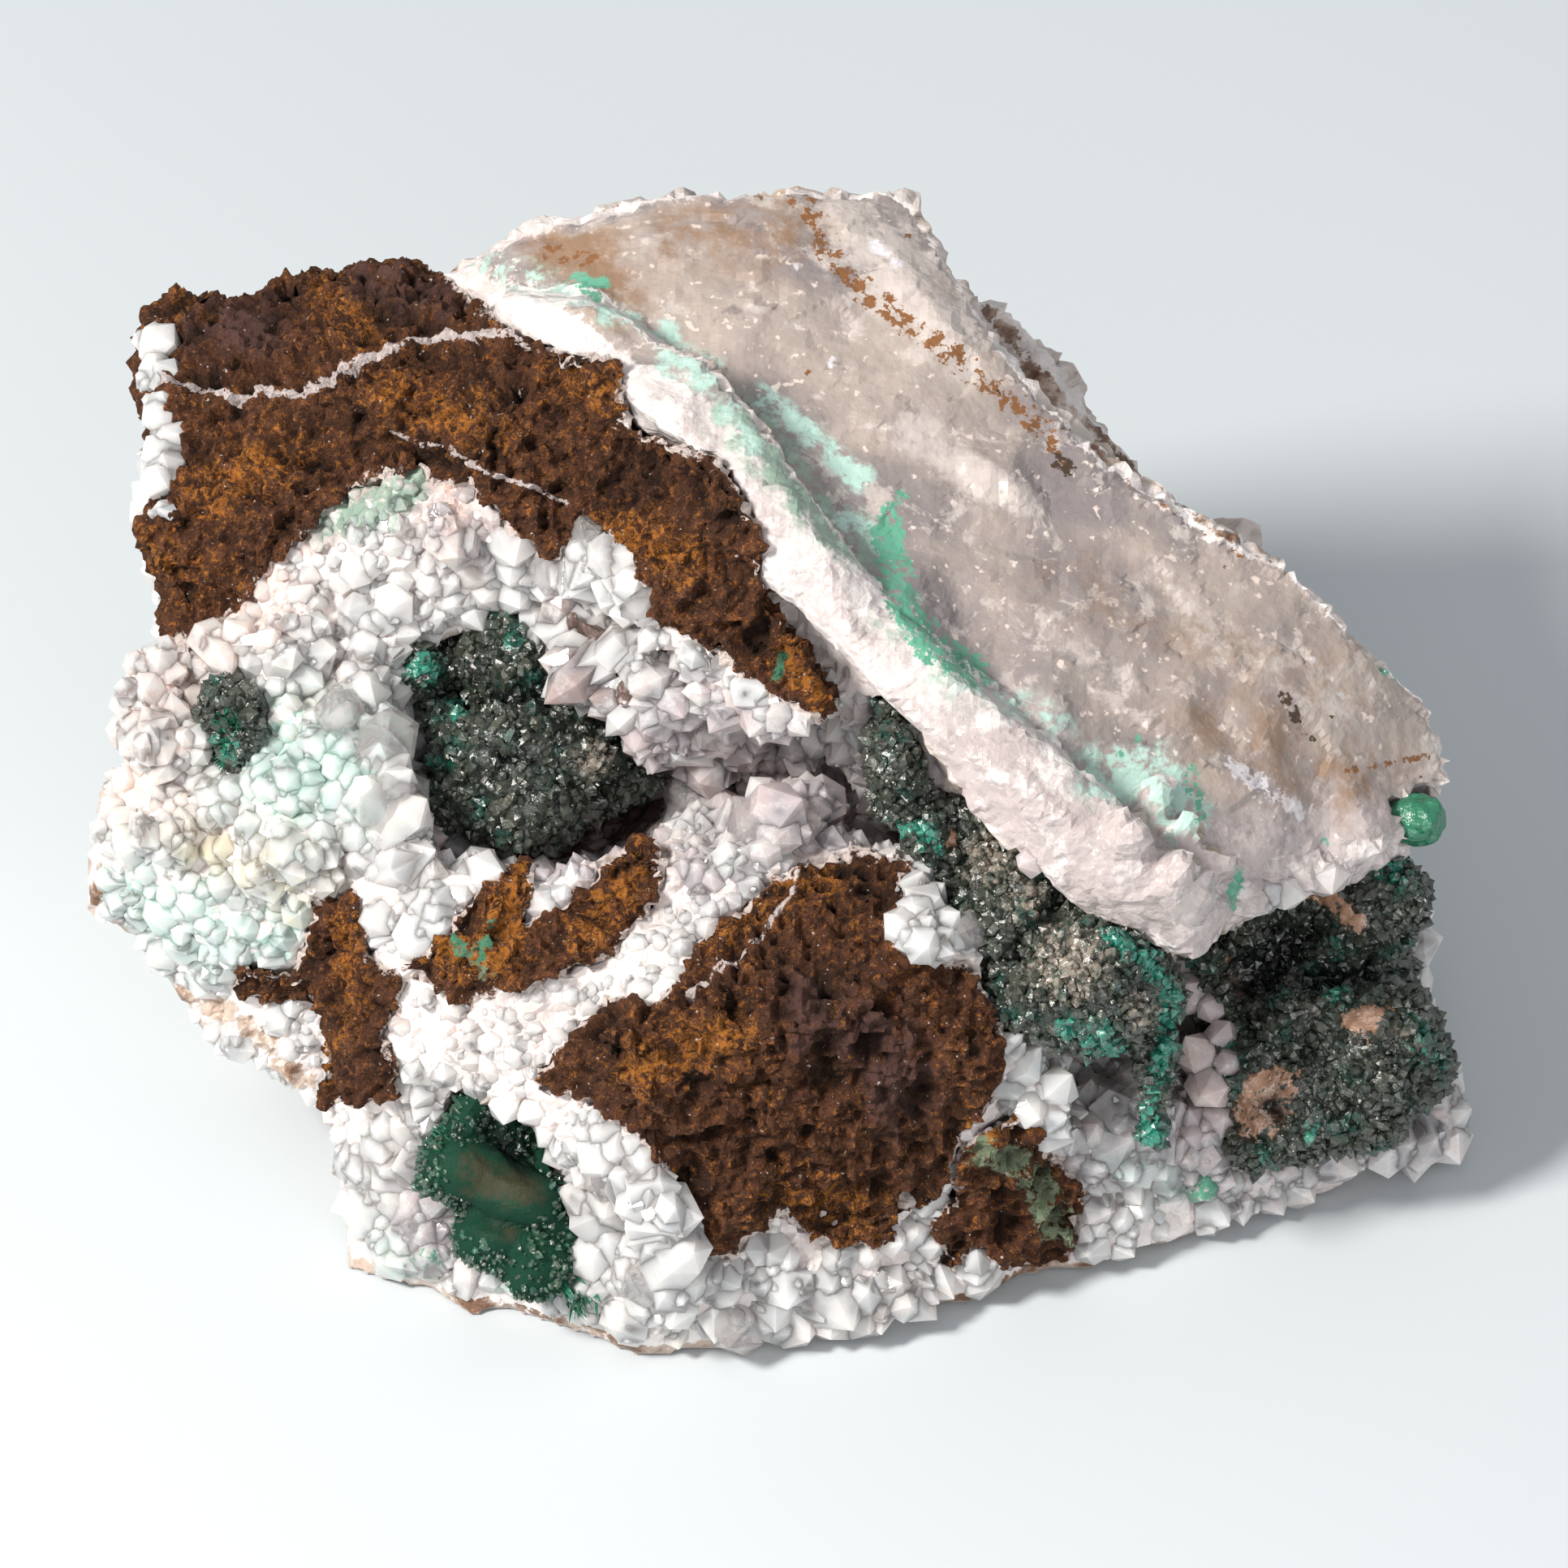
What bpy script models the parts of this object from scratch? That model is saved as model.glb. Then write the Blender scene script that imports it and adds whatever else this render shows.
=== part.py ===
"""Malachite specimen: dark green malachite lumps in the hollows of a quartz rock with brown limonite in it.

The rock is laid out as it shows from 40 degrees above the table. A point is named by how far it shows
across and up in that view, and by its true height above the table, all in millimetres.
"""

import math
import random

import bmesh
import bpy
import numpy as np
from mathutils import Matrix, Vector, noise
from mathutils.bvhtree import BVHTree

MM = 0.001

# The layout view looks down at this angle, and its lowest point lies this far in front of the origin
VIEW_TILT = math.radians(40)
FRONT_TO_ORIGIN = 33.0
TOWARD_VIEWER = Vector((0, -math.cos(VIEW_TILT), math.sin(VIEW_TILT)))
UP_IN_VIEW = Vector((0, math.sin(VIEW_TILT), math.cos(VIEW_TILT)))

# Gap between touching minerals, and how far limonite stands proud of the quartz round it. The columns
# that shape its patches, the viewing distance and the block under the rock only have to be large enough.
GAP = 0.35
LIMONITE_PROUD = 0.7
COLUMN_LENGTH = 45.0
VIEW_DISTANCE = 200.0
TABLE_BLOCK = (300.0, 20.0)
SHARPEST_CORNER = 0.25
SAME_POINT = 0.001

# Fineness: the voxels of the joined rock, of a malachite cluster and of a single lump, and the triangles
# that are left of each
ROCK_VOXEL = 1.2
CLUSTER_VOXEL = 0.8
LUMP_VOXEL = 0.5
ROCK_TRIANGLES = 1400
CLUSTER_TRIANGLES = 320
LUMP_TRIANGLES = 100

# Relief of the rock: the spacing of its broad lumps and of its breaks, and the heights of both on the
# rock and on the slab
LUMP_SPACING = 9.0
BREAK_SPACING = 5.5
ROCK_RELIEF = (4.0, 3.0)
SLAB_RELIEF = (1.6, 1.6)

# How far a hollow's wall strays from a ball, as a share of its radius, and how many times it turns
HOLLOW_ROUGHNESS = 0.16
HOLLOW_TURNS = 1.7

# The crust of crystals that lines the big hollow
CRUST_THICKNESS = 1.8
LINING_TRIANGLES = 300

# Quartz points: length of the prism and height of its tip, both in widths, its taper, how much it leans
# at random and toward the viewer, and the share of the prism that is sunk in the rock
POINT_LENGTHS = (1.0, 1.5)
TIP_HEIGHTS = (0.5, 0.75)
POINT_TAPER = 0.94
POINT_LEAN = 0.22
POINT_TURN = 0.2
SUNK_SHARE = 0.7

# How far the points' feet keep from the table, and how far out of the hollows, in hollow radii
LOWEST_POINT_FOOT = 6.5
HOLLOW_MARGIN = 1.25

# Each malachite ball has a second one behind it, this share of its radius further in. Its knobs have
# these shares of its radius, stand this share of it from its middle, and reach at most this far out of it
ROOT_DEPTH = 0.6
KNOB_SIZES = (0.3, 0.5)
KNOB_PLACE = 0.8
KNOB_REACH = 1.0

# The broken plate of grey chalcedony: its upper face, left part then right part, and its thickness
SLAB_THICKNESS = 15.0
SLAB_LEFT = [
    (-24, 79.5, 55), (-19, 82.5, 57), (-9.5, 83, 59), (-6, 85, 60), (1, 84, 59), (5.5, 85, 58),
    (9, 85, 57), (10.5, 81.5, 56), (15, 73, 53), (21.5, 65, 48), (20, 43, 38), (12.5, 47, 42),
    (6.5, 52.5, 46), (-0.5, 61.5, 51), (-9.5, 70.5, 56), (-19, 75, 58),
]
SLAB_RIGHT = [
    (15, 73, 53), (21.5, 65, 48), (29.5, 59.5, 44), (36.5, 56.5, 40), (42.5, 51.5, 35),
    (46.5, 48, 31), (47.5, 44, 28), (47, 39, 25), (36.5, 36.5, 26), (30.5, 35, 28), (29, 32, 29),
    (24, 37, 34), (20, 41.5, 37), (12.5, 47, 42), (6.5, 52.5, 46),
]

# The white crest along the slab's lower left edge: its line and its half thickness
CREST = [
    ((-20, 76.8, 57), 1.3), ((-15, 74.6, 58), 1.6), ((-9.5, 70.8, 57.5), 2.2), ((-4, 65.8, 55), 2.4),
    ((-1, 61, 52.5), 2.5), ((2.3, 57, 49.5), 2.2), ((6, 53, 46.5), 2.0), ((11.5, 47.5, 42.5), 2.2),
    ((17, 42.5, 39.5), 2.2), ((21, 38, 36), 2.2), ((27, 34, 31.5), 2.2), ((29.5, 33, 29.5), 2.0),
]

# The other masses of the rock, each the hull of the corners that show and of those hidden behind and below
RIDGE_LEFT = [
    (-44.5, 78, 49), (-38.5, 78.5, 50), (-32.5, 78.5, 51), (-29.5, 80, 54), (-25.5, 78.5, 55),
    (-19, 75, 57), (-18, 66, 53), (-23.5, 63.5, 50), (-33.5, 61.5, 45), (-41.5, 54.5, 37),
    (-44, 58.5, 39), (-44, 63.5, 42), (-46, 66, 40),
]
RIDGE_RIGHT = [
    (-19, 75, 57.5), (-10.5, 70.5, 57.5), (-5, 65, 55), (-1.5, 60, 52), (-1, 54.5, 48),
    (4.5, 47.5, 42), (1.5, 47, 41), (-4, 51.5, 43), (-8.5, 54.5, 45), (-12, 60, 48), (-23.5, 63.5, 50),
]
LEFT_LOBE = [
    (-50, 34.5, 22), (-48, 40, 28), (-44.5, 47.5, 33), (-42, 54, 36), (-38.5, 58, 39), (-32.5, 58, 40),
    (-25.5, 49, 37), (-25.5, 40.5, 34), (-25, 36, 31), (-31.5, 33, 26), (-36.5, 24, 12),
    (-32.5, 20, 7), (-46.5, 29, 16), (-41, 27, 13),
]
FRONT_WALL = [
    (-32.5, 33.5, 26), (-24.5, 35.5, 30), (-15.5, 35.5, 30), (-6.5, 37, 31), (-28, 26, 21),
    (-15.5, 26, 24), (-29.5, 18.5, 12), (-32, 15.5, 5), (-30.5, 6.5, -2), (-18, 3, -2),
    (-10.5, 0, -2), (-6, 2, -2), (-8, 17.5, 19),
]
BOULDER = [
    (-5.5, 36, 31), (-0.5, 39.5, 32), (5.5, 39.5, 32), (8.5, 37, 31), (14, 32, 29), (15.5, 23.5, 22),
    (20, 17.5, 13), (13.5, 5, -2), (-0.5, 1, -2), (-6, 2, -2), (-8, 12, 13), (-12, 18.5, 19),
    (-15.5, 24.5, 24), (0, 25, 27),
]
LEDGE = [
    (9.5, 3.5, -2), (26, 8.5, -2), (36.5, 11, -2), (50, 16, -2), (50, 18, 3), (48, 22, 6),
    (42.5, 18.5, 5.5), (36.5, 16, 5.5), (26, 16, 8), (15, 15.5, 12),
]

# Hidden corners: x, distance behind the front, height
RIDGE_FOOT = [(-43, 58, 20), (-30, 66, 30), (-4, 58, 30), (-30, 44, 25), (-4, 42, 28), (-2, 33, 30)]
LOBE_FOOT = [(-40, 46, 10), (-26, 46, 8), (-24, 30, 4), (-43, 52, 24)]
WALL_FOOT = [(-30, 34, -2), (-30, 36, 22), (-6, 36, 24), (-6, 34, -2)]
BOULDER_FOOT = [(-14, 36, -2), (18, 32, -2), (16, 30, 20), (-8, 34, 24)]
LEDGE_FOOT = [(44, 44, -2), (43, 44, 3.5), (12, 40, -2), (12, 40, 8)]
SHELF_WALL = [
    (27, 27, 2), (46, 28, 2), (44, 50, 2), (27, 50, 2),
    (28, 33, 22), (44, 34, 22), (40, 50, 26), (28, 50, 26),
]
BACK_MASS = [
    (-38, 34, -2), (-41, 58, -2), (-27, 66, -2), (20, 67, -2), (38, 58, -2), (34, 42, -2), (6, 34, -2),
    (-12, 34, -2), (-43, 60, 26), (-28, 68, 42), (-8, 67, 50), (10, 68, 48), (33, 54, 34), (26, 40, 30),
    (4, 34, 30), (-16, 46, 34), (-36, 44, 28),
]

# Hollows cut into the rock: where each one shows, and its half widths across, up and in depth
HOLLOWS = {
    "big_hollow": ((-16, 46, 34), (12.5, 10.5, 13)),
    "low_hollow": ((-20, 13.5, 10), (6.2, 7.2, 7)),
}

# Limonite: the outline that shows and the depth of each patch
LIMONITE = {
    "limonite_ridge": (9.0, [
        (-46, 80, 50), (-38.5, 82, 50), (-32.5, 81, 51), (-31.5, 77.5, 52), (-30.5, 82, 54),
        (-27, 81, 55), (-24.5, 78.3, 55), (-21, 75.5, 56), (-17.5, 73.3, 57), (-12, 72, 57),
        (-11, 67.5, 56), (-5, 65, 54),
        (-2, 60.5, 51), (-1.5, 55, 47), (2.5, 50, 43), (4.5, 47, 41), (1, 48, 41), (-4, 51.5, 43),
        (-8.5, 54.5, 45), (-11, 60, 47), (-14.5, 61.5, 48), (-16, 59, 47), (-19, 60.5, 48),
        (-21.5, 63.5, 49), (-26, 65, 50), (-31, 64, 47), (-34, 61, 44), (-38, 56.5, 40), (-42, 52, 36),
        (-47, 57, 38), (-44.5, 63, 42), (-45, 68, 44), (-46, 72, 46),
    ]),
    "limonite_dome": (5.0, [
        (5, 37.5, 32), (8.5, 36.5, 31.5), (7.5, 31.5, 30), (12.5, 29.5, 28), (15, 25.5, 24),
        (15, 21.5, 21), (12.5, 18, 19), (9, 9.5, 8), (3, 10.5, 11), (-0.5, 12.5, 14), (-4, 9.5, 9),
        (-6, 9.5, 10), (-8, 14, 16), (-9.5, 17.5, 19), (-13.5, 20.5, 21), (-17, 21.5, 21),
        (-15, 24, 24), (-12.5, 27, 26), (-8.5, 26.5, 26), (-5, 31.5, 29), (-0.5, 35.5, 31),
    ]),
    "limonite_fork": (4.0, [
        (-32.5, 34.5, 27), (-30.5, 34.5, 27), (-29.5, 30, 24), (-27, 28.5, 22), (-29, 25, 19),
        (-27.5, 23, 17), (-28, 20.5, 15), (-33, 20, 12), (-36.5, 24, 15), (-39, 28, 20), (-38.5, 29.5, 22),
        (-34.5, 28.5, 21),
    ]),
    "limonite_streak": (3.5, [
        (-26.5, 29.5, 24), (-23, 33, 28), (-18.5, 37, 31), (-18, 34.5, 29), (-20, 31, 26),
        (-15.5, 33.5, 29), (-10, 38.5, 31), (-8.5, 36, 30), (-12, 31, 27), (-17, 29, 25), (-22.5, 27.5, 23),
    ]),
    "limonite_toe": (4.5, [
        (12.5, 16.5, 12), (17, 19.5, 15), (18.5, 16.5, 12), (21, 13.5, 9), (20, 9, 4), (15.5, 8.5, 3),
        (14, 10.5, 5), (11.5, 8, 3), (11, 12, 8), (13, 14, 10),
    ]),
}

# Druse: middle of each field of quartz points, its half widths, how many points, and their widths
DRUSE = [
    ((-37, 44), (10, 9), 20, 3.4, 5.2),
    ((-29, 44), (2, 8), 6, 4.4, 6.0),
    ((-38, 54), (6, 4), 6, 3.4, 4.8),
    ((-22, 59), (8, 2), 6, 3.2, 4.6),
    ((-3, 43), (5, 5), 8, 3.6, 5.2),
    ((5, 42), (3, 5), 4, 3.0, 4.2),
    ((0, 38), (6, 1.5), 5, 3.2, 4.2),
    ((-46, 65), (3, 7), 6, 3.0, 4.4),
    ((12, 33), (3, 5), 4, 3.4, 4.6),
    ((28, 19), (6, 6), 8, 3.0, 4.6),
    ((44, 18), (6, 2.5), 4, 3.2, 4.2),
    ((-18, 5), (8, 3), 5, 3.4, 4.4),
    ((-9, 12), (3, 6), 5, 3.4, 4.6),
    ((4, 5), (8, 3), 4, 3.4, 4.4),
    ((24, 38), (6, 4), 5, 3.0, 4.2),
]
CRUST_DRUSE = [((-16, 46), (11.5, 9.5), 20, 2.6, 3.9)]

# Malachite lumps: how many small knobs grow on each ball, and each ball's place and radius
MALACHITE = {
    "malachite_pocket": (8, [
        ((-21, 55, 37), 2.4), ((-23.5, 52, 35), 2.3), ((-19, 52.5, 36), 3.0), ((-18, 49.5, 34.5), 2.8),
        ((-25.5, 50, 34), 2.0), ((-20, 45, 30.5), 5.4), ((-15.5, 43.5, 29.5), 4.0), ((-23.5, 41, 28.5), 3.3),
        ((-18, 40.5, 28), 3.6), ((-21.5, 47.5, 32), 3.4), ((-17, 47, 32), 3.4), ((-12.5, 43, 29), 2.4),
        ((-10, 45.5, 30), 1.7), ((-10, 43, 28.5), 1.4),
    ]),
    "malachite_drape": (7, [
        ((8, 48, 39), 1.7), ((7.7, 45.5, 37.5), 1.9), ((7.7, 43, 36), 2.0), ((8.6, 41, 34.5), 2.0),
        ((10, 40, 33.5), 2.0), ((13, 39.3, 32), 2.6), ((15.8, 38, 30.5), 2.8), ((13.5, 36, 30), 2.8),
        ((17, 35, 29), 3.2), ((19.8, 34, 28.5), 2.6), ((15.8, 32, 27.5), 3.2), ((18.7, 31.4, 27), 3.6),
        ((21.5, 29, 25.5), 5.0), ((16.4, 27.5, 24.5), 2.4), ((25.8, 28, 24), 2.6), ((26.2, 23.5, 19.5), 1.8),
        ((26.4, 20.5, 16.5), 1.5), ((26.2, 18, 14), 1.3),
    ]),
    "malachite_shelf": (9, [
        ((30.5, 32, 18.5), 2.8), ((34, 34, 19), 3.4), ((38.5, 34.5, 19), 3.8), ((42.5, 34, 19), 3.2),
        ((31.5, 28.5, 16), 3.2), ((36, 30, 16), 3.8), ((41, 30, 16), 3.6), ((34.5, 25.5, 13), 4.6),
        ((39.5, 24.5, 11.5), 5.0), ((44, 22.5, 10), 3.8), ((35.5, 20, 9.5), 3.8), ((41, 20, 9), 3.6),
        ((33.5, 17.5, 8), 2.4), ((31.5, 22.5, 12), 3.0),
    ]),
    "malachite_velvet": (4, [
        ((-21.3, 19, 14), 2.4), ((-20.5, 16, 11.5), 3.8), ((-23.3, 15.5, 12), 2.8), ((-19, 12, 9), 3.8),
        ((-15.8, 11, 7.5), 2.6), ((-17.5, 8.5, 6.2), 2.5), ((-21.5, 10.5, 7.5), 2.2), ((-14, 11.5, 7.5), 1.6),
    ]),
}
SINGLE_KNOBS = 4
SINGLE_LUMPS = {
    "malachite_tuft": [(-39.5, 48, 2.0), (-38.5, 46.5, 1.8), (-39, 45, 1.2)],
    "malachite_button": [(45.2, 40, 2.0)],
}

COLOURS = {
    "quartz_rock": ((0.82, 0.78, 0.77), 0.35),
    "limonite": ((0.20, 0.09, 0.035), 0.9),
    "malachite": ((0.02, 0.09, 0.06), 0.45),
}


def placed(x, behind_front, height):
    """World point from x, the distance behind the specimen's front and the height, in millimetres."""
    return Vector((x, behind_front - FRONT_TO_ORIGIN, height)) * MM


def seen(across, up, height):
    """World point that shows at (across, up) in the layout view and stands height above the table."""
    behind_front = (up - height * math.cos(VIEW_TILT)) / math.sin(VIEW_TILT)
    return placed(across, behind_front, height)


def in_view(across, up, near):
    """World point at (across, up) in the layout view and this near to the viewer, in millimetres."""
    return placed(0, 0, 0) + (Vector((across, 0, 0)) + UP_IN_VIEW * up + TOWARD_VIEWER * near) * MM


def nearness(point):
    """How near to the viewer a world point lies, in millimetres, as in_view takes it."""
    return (point - placed(0, 0, 0)).dot(TOWARD_VIEWER) / MM


def new_object(name, bm):
    mesh = bpy.data.meshes.new(name)
    bm.to_mesh(mesh)
    bm.free()
    obj = bpy.data.objects.new(name, mesh)
    bpy.context.scene.collection.objects.link(obj)
    return obj


def drop(obj):
    bpy.data.objects.remove(obj)


def applied_mesh(obj):
    """A new mesh of the object as its modifiers or its curve settings show it."""
    bpy.context.view_layer.update()
    graph = bpy.context.evaluated_depsgraph_get()
    return bpy.data.meshes.new_from_object(obj.evaluated_get(graph))


def applied(obj):
    """Replaces the object's mesh with what its modifiers make of it."""
    mesh = applied_mesh(obj)
    obj.modifiers.clear()
    obj.data = mesh
    return obj


def hull(bm, points):
    verts = [bm.verts.new(p) for p in points]
    made = bmesh.ops.convex_hull(bm, input=verts)
    unused = [v for v in made["geom_unused"] + made["geom_interior"] if isinstance(v, bmesh.types.BMVert)]
    bmesh.ops.delete(bm, geom=list(dict.fromkeys(unused)), context="VERTS")


def slab_normal(face):
    """Outward normal of the slab's upper face, the best plane through its corners."""
    points = [seen(*corner) for corner in face]
    middle = sum(points, Vector()) / len(points)
    total = Vector()
    for a, b in zip(points, points[1:] + points[:1]):
        total += (a - middle).cross(b - middle)
    total.normalize()
    return total if total.z > 0 else -total


def add_slab(bm):
    """The two halves of the chalcedony slab, and the crest along its edge as a chain of hulls."""
    for face in (SLAB_LEFT, SLAB_RIGHT):
        down = slab_normal(face) * -SLAB_THICKNESS * MM
        top = [seen(*corner) for corner in face]
        hull(bm, top + [p + down for p in top])
    for (start, start_half), (end, end_half) in zip(CREST, CREST[1:]):
        hull(bm, knuckle(start, start_half) + knuckle(end, end_half))


def knuckle(place, half):
    """The eight corners of a small block round one point of the crest."""
    middle = seen(*place)
    ways = [Vector((x, y, z)) for x in (-1, 1) for y in (-1, 1) for z in (-1, 1)]
    return [middle + way * half * MM for way in ways]


def add_masses(bm):
    """The overlapping masses under and round the slab."""
    for shown, hidden in (
        (RIDGE_LEFT, RIDGE_FOOT),
        (RIDGE_RIGHT, RIDGE_FOOT[2:]),
        (LEFT_LOBE, LOBE_FOOT),
        (FRONT_WALL, WALL_FOOT),
        (BOULDER, BOULDER_FOOT),
        (LEDGE, LEDGE_FOOT),
        ([], SHELF_WALL),
        ([], BACK_MASS),
    ):
        hull(bm, [seen(*p) for p in shown] + [placed(*p) for p in hidden])


def roughened(obj, name, kind, scale, strength):
    """Pushes the surface in and out by one of Blender's textures."""
    texture = bpy.data.textures.new(name, kind)
    texture.noise_scale = scale * MM
    push = obj.modifiers.new(name, "DISPLACE")
    push.texture = texture
    push.texture_coords = "LOCAL"
    push.strength = strength * MM
    push.mid_level = 0.5


def remeshed(obj, voxel):
    remesh = obj.modifiers.new("join", "REMESH")
    remesh.mode = "VOXEL"
    remesh.voxel_size = voxel * MM


def thinned(obj, triangles):
    """Decimates the object to about this many flat faces."""
    obj.data.calc_loop_triangles()
    decimate = obj.modifiers.new("facets", "DECIMATE")
    decimate.ratio = min(1.0, triangles / max(1, len(obj.data.loop_triangles)))
    decimate.use_collapse_triangulate = True
    return applied(obj)


def combined(obj, other, operation, itself=True):
    """Boolean of the object with another one, which is then removed; itself mends self-crossings too."""
    boolean = obj.modifiers.new(operation.lower(), "BOOLEAN")
    boolean.operation = operation
    boolean.object = other
    boolean.solver = "EXACT"
    boolean.use_self = itself
    applied(obj)
    drop(other)
    return largest_body(obj)


def largest_body(obj):
    """Keeps the biggest connected piece, so that a cut leaves no loose crumbs."""
    bm = bmesh.new()
    bm.from_mesh(obj.data)
    bmesh.ops.remove_doubles(bm, verts=bm.verts, dist=SAME_POINT * MM)
    left = set(bm.faces)
    bodies = []
    while left:
        start = left.pop()
        body, reached = {start}, [start]
        while reached:
            here = reached.pop()
            fresh = {face for edge in here.edges for face in edge.link_faces} - body
            body |= fresh
            reached += fresh
        left -= body
        bodies.append(body)
    keep = max(bodies, key=len)
    crumbs = [face for face in bm.faces if face not in keep]
    bmesh.ops.delete(bm, geom=crumbs, context="FACES")
    bmesh.ops.triangulate(bm, faces=bm.faces)
    bm.to_mesh(obj.data)
    bm.free()
    obj.data.update()
    return obj


def inflated_copy(obj, by):
    copy = obj.copy()
    copy.data = obj.data.copy()
    bpy.context.scene.collection.objects.link(copy)
    swell = copy.modifiers.new("swell", "DISPLACE")
    swell.strength = by * MM
    swell.mid_level = 0
    return applied(copy)


def hollow(name, middle, half_widths):
    """A rough ball, stretched in the layout view's own directions, to cut a hollow with."""
    bm = bmesh.new()
    bmesh.ops.create_icosphere(bm, subdivisions=2, radius=1.0)
    across, up, deep = (half * MM for half in half_widths)
    for v in bm.verts:
        rough = v.co * (1 + HOLLOW_ROUGHNESS * noise.noise(v.co * HOLLOW_TURNS))
        v.co = Vector((rough.x * across, 0, 0)) + UP_IN_VIEW * rough.y * up + TOWARD_VIEWER * rough.z * deep
    bmesh.ops.translate(bm, verts=bm.verts, vec=seen(*middle))
    return new_object(name, bm)


def table_block():
    """All that lies below the table's top, to cut the rock flat with."""
    width, height = TABLE_BLOCK
    bm = bmesh.new()
    bmesh.ops.create_cube(bm, size=1.0)
    block = new_object("table_block", bm)
    shape = Matrix.Diagonal((width * MM, width * MM, height * MM, 1))
    block.data.transform(Matrix.Translation((0, 0, -height / 2 * MM)) @ shape)
    return block


def joined_mass(name, add, relief):
    """One closed mass from overlapping hulls, roughened by broad lumps and breaks of these heights."""
    lumps, breaks = relief
    bm = bmesh.new()
    add(bm)
    mass = new_object(name, bm)
    remeshed(mass, ROCK_VOXEL)
    roughened(mass, name + "_lumps", "CLOUDS", LUMP_SPACING, lumps)
    roughened(mass, name + "_breaks", "VORONOI", BREAK_SPACING, -breaks)
    remeshed(mass, ROCK_VOXEL)
    return largest_body(applied(mass))


def make_rock():
    """The whole rock in one solid, before its minerals are parted and its hollows cut, and a lining."""
    rock = joined_mass("quartz_rock", add_masses, ROCK_RELIEF)
    combined(rock, joined_mass("slab", add_slab, SLAB_RELIEF), "UNION", itself=False)
    lining = hollow_lining(rock)
    thinned(rock, ROCK_TRIANGLES)
    return combined(rock, table_block(), "DIFFERENCE"), lining


def crust_form(name, inset):
    """The form of the big hollow, this much smaller all round."""
    middle, half_widths = HOLLOWS["big_hollow"]
    return hollow(name, middle, [half - inset for half in half_widths])


def hollow_lining(rock):
    """A thin lining of the big hollow, as far out as the rock's own surface."""
    lining = crust_form("quartz_crust", GAP)
    combined(lining, crust_form("crust_space", GAP + CRUST_THICKNESS), "DIFFERENCE")
    combined(lining, inflated_copy(rock, 0), "INTERSECT", itself=False)
    return thinned(lining, LINING_TRIANGLES)


def in_hollow(point):
    """Whether the point lies in one of the hollows or at its rim."""
    for middle, half_widths in HOLLOWS.values():
        away = point - seen(*middle)
        shares = (away.x, away.dot(UP_IN_VIEW), away.dot(TOWARD_VIEWER))
        if sum((share / (half * MM)) ** 2 for share, half in zip(shares, half_widths)) < HOLLOW_MARGIN**2:
            return True
    return False


def widened(corners, by):
    """Corners of an outline moved so that every side of it lies this far outside its old place."""
    turning = sum(a.cross(b) for a, b in zip(corners, corners[1:] + corners[:1]))
    moved = []
    for before, here, after in zip(corners[-1:] + corners[:-1], corners, corners[1:] + corners[:1]):
        sides = [(here - before).normalized(), (after - here).normalized()]
        one, other = [Vector((side.y, -side.x)) * math.copysign(1, turning) for side in sides]
        moved.append(here + (one + other) * by / max(SHARPEST_CORNER, 1 + one.dot(other)))
    return moved


def column(name, outline, wider, depth):
    """A solid of the outline seen along the view, from the depth below its best plane to far above it."""
    curve = bpy.data.curves.new(name, "CURVE")
    curve.dimensions = "2D"
    curve.fill_mode = "BOTH"
    curve.extrude = COLUMN_LENGTH / 2
    corners = widened([Vector(corner[:2]) for corner in outline], wider)
    spline = curve.splines.new("POLY")
    spline.points.add(len(corners) - 1)
    for point, corner in zip(spline.points, corners):
        point.co = (corner.x, corner.y, 0, 1)
    spline.use_cyclic_u = True
    flat = bpy.data.objects.new(name, curve)
    bpy.context.scene.collection.objects.link(flat)

    bm = bmesh.new()
    bm.from_mesh(applied_mesh(flat))
    drop(flat)
    bmesh.ops.remove_doubles(bm, verts=bm.verts, dist=SAME_POINT)
    shown = np.array([(across, up, 1.0) for across, up, _ in outline])
    near = np.array([nearness(seen(*corner)) for corner in outline])
    slope = np.linalg.lstsq(shown, near, rcond=None)[0]
    for v in bm.verts:
        lift = v.co.z + COLUMN_LENGTH / 2 - depth
        v.co = in_view(v.co.x, v.co.y, float(np.dot((v.co.x, v.co.y, 1.0), slope)) + lift)
    bmesh.ops.triangulate(bm, faces=bm.faces)
    bmesh.ops.recalc_face_normals(bm, faces=bm.faces)
    return new_object(name, bm)


def limonite_patch(rock, name):
    """One limonite patch in the shape of the rock's own surface, standing a little proud of it."""
    depth, outline = LIMONITE[name]
    patch = inflated_copy(rock, LIMONITE_PROUD)
    patch.name = name
    combined(patch, column("patch_form", outline, 0, depth), "INTERSECT")
    return patch


def cut_patch_seats(hosts):
    """Takes the limonite patches, with a gap round each, out of the quartz."""
    for depth, outline in LIMONITE.values():
        for host in hosts:
            cut_by(host, column("patch_seat", outline, GAP, depth + GAP))


def add_point(bm, foot, direction, width, length):
    """One quartz crystal: a six-sided prism with a pyramid on its end."""
    tip = width * random.uniform(*TIP_HEIGHTS)
    prism = bmesh.ops.create_cone(
        bm, cap_ends=True, segments=6, radius1=width / 2, radius2=width / 2 * POINT_TAPER, depth=length
    )
    faces = {face for vert in prism["verts"] for face in vert.link_faces}
    top = max(faces, key=lambda face: face.calc_center_median().z)
    crystal = prism["verts"] + bmesh.ops.poke(bm, faces=[top], offset=tip)["verts"]
    spin = Matrix.Rotation(random.uniform(0, math.pi / 3), 4, "Z")
    turn = direction.to_track_quat("Z", "Y").to_matrix().to_4x4()
    bmesh.ops.transform(bm, verts=crystal, matrix=Matrix.Translation(foot) @ turn @ spin)


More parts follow.
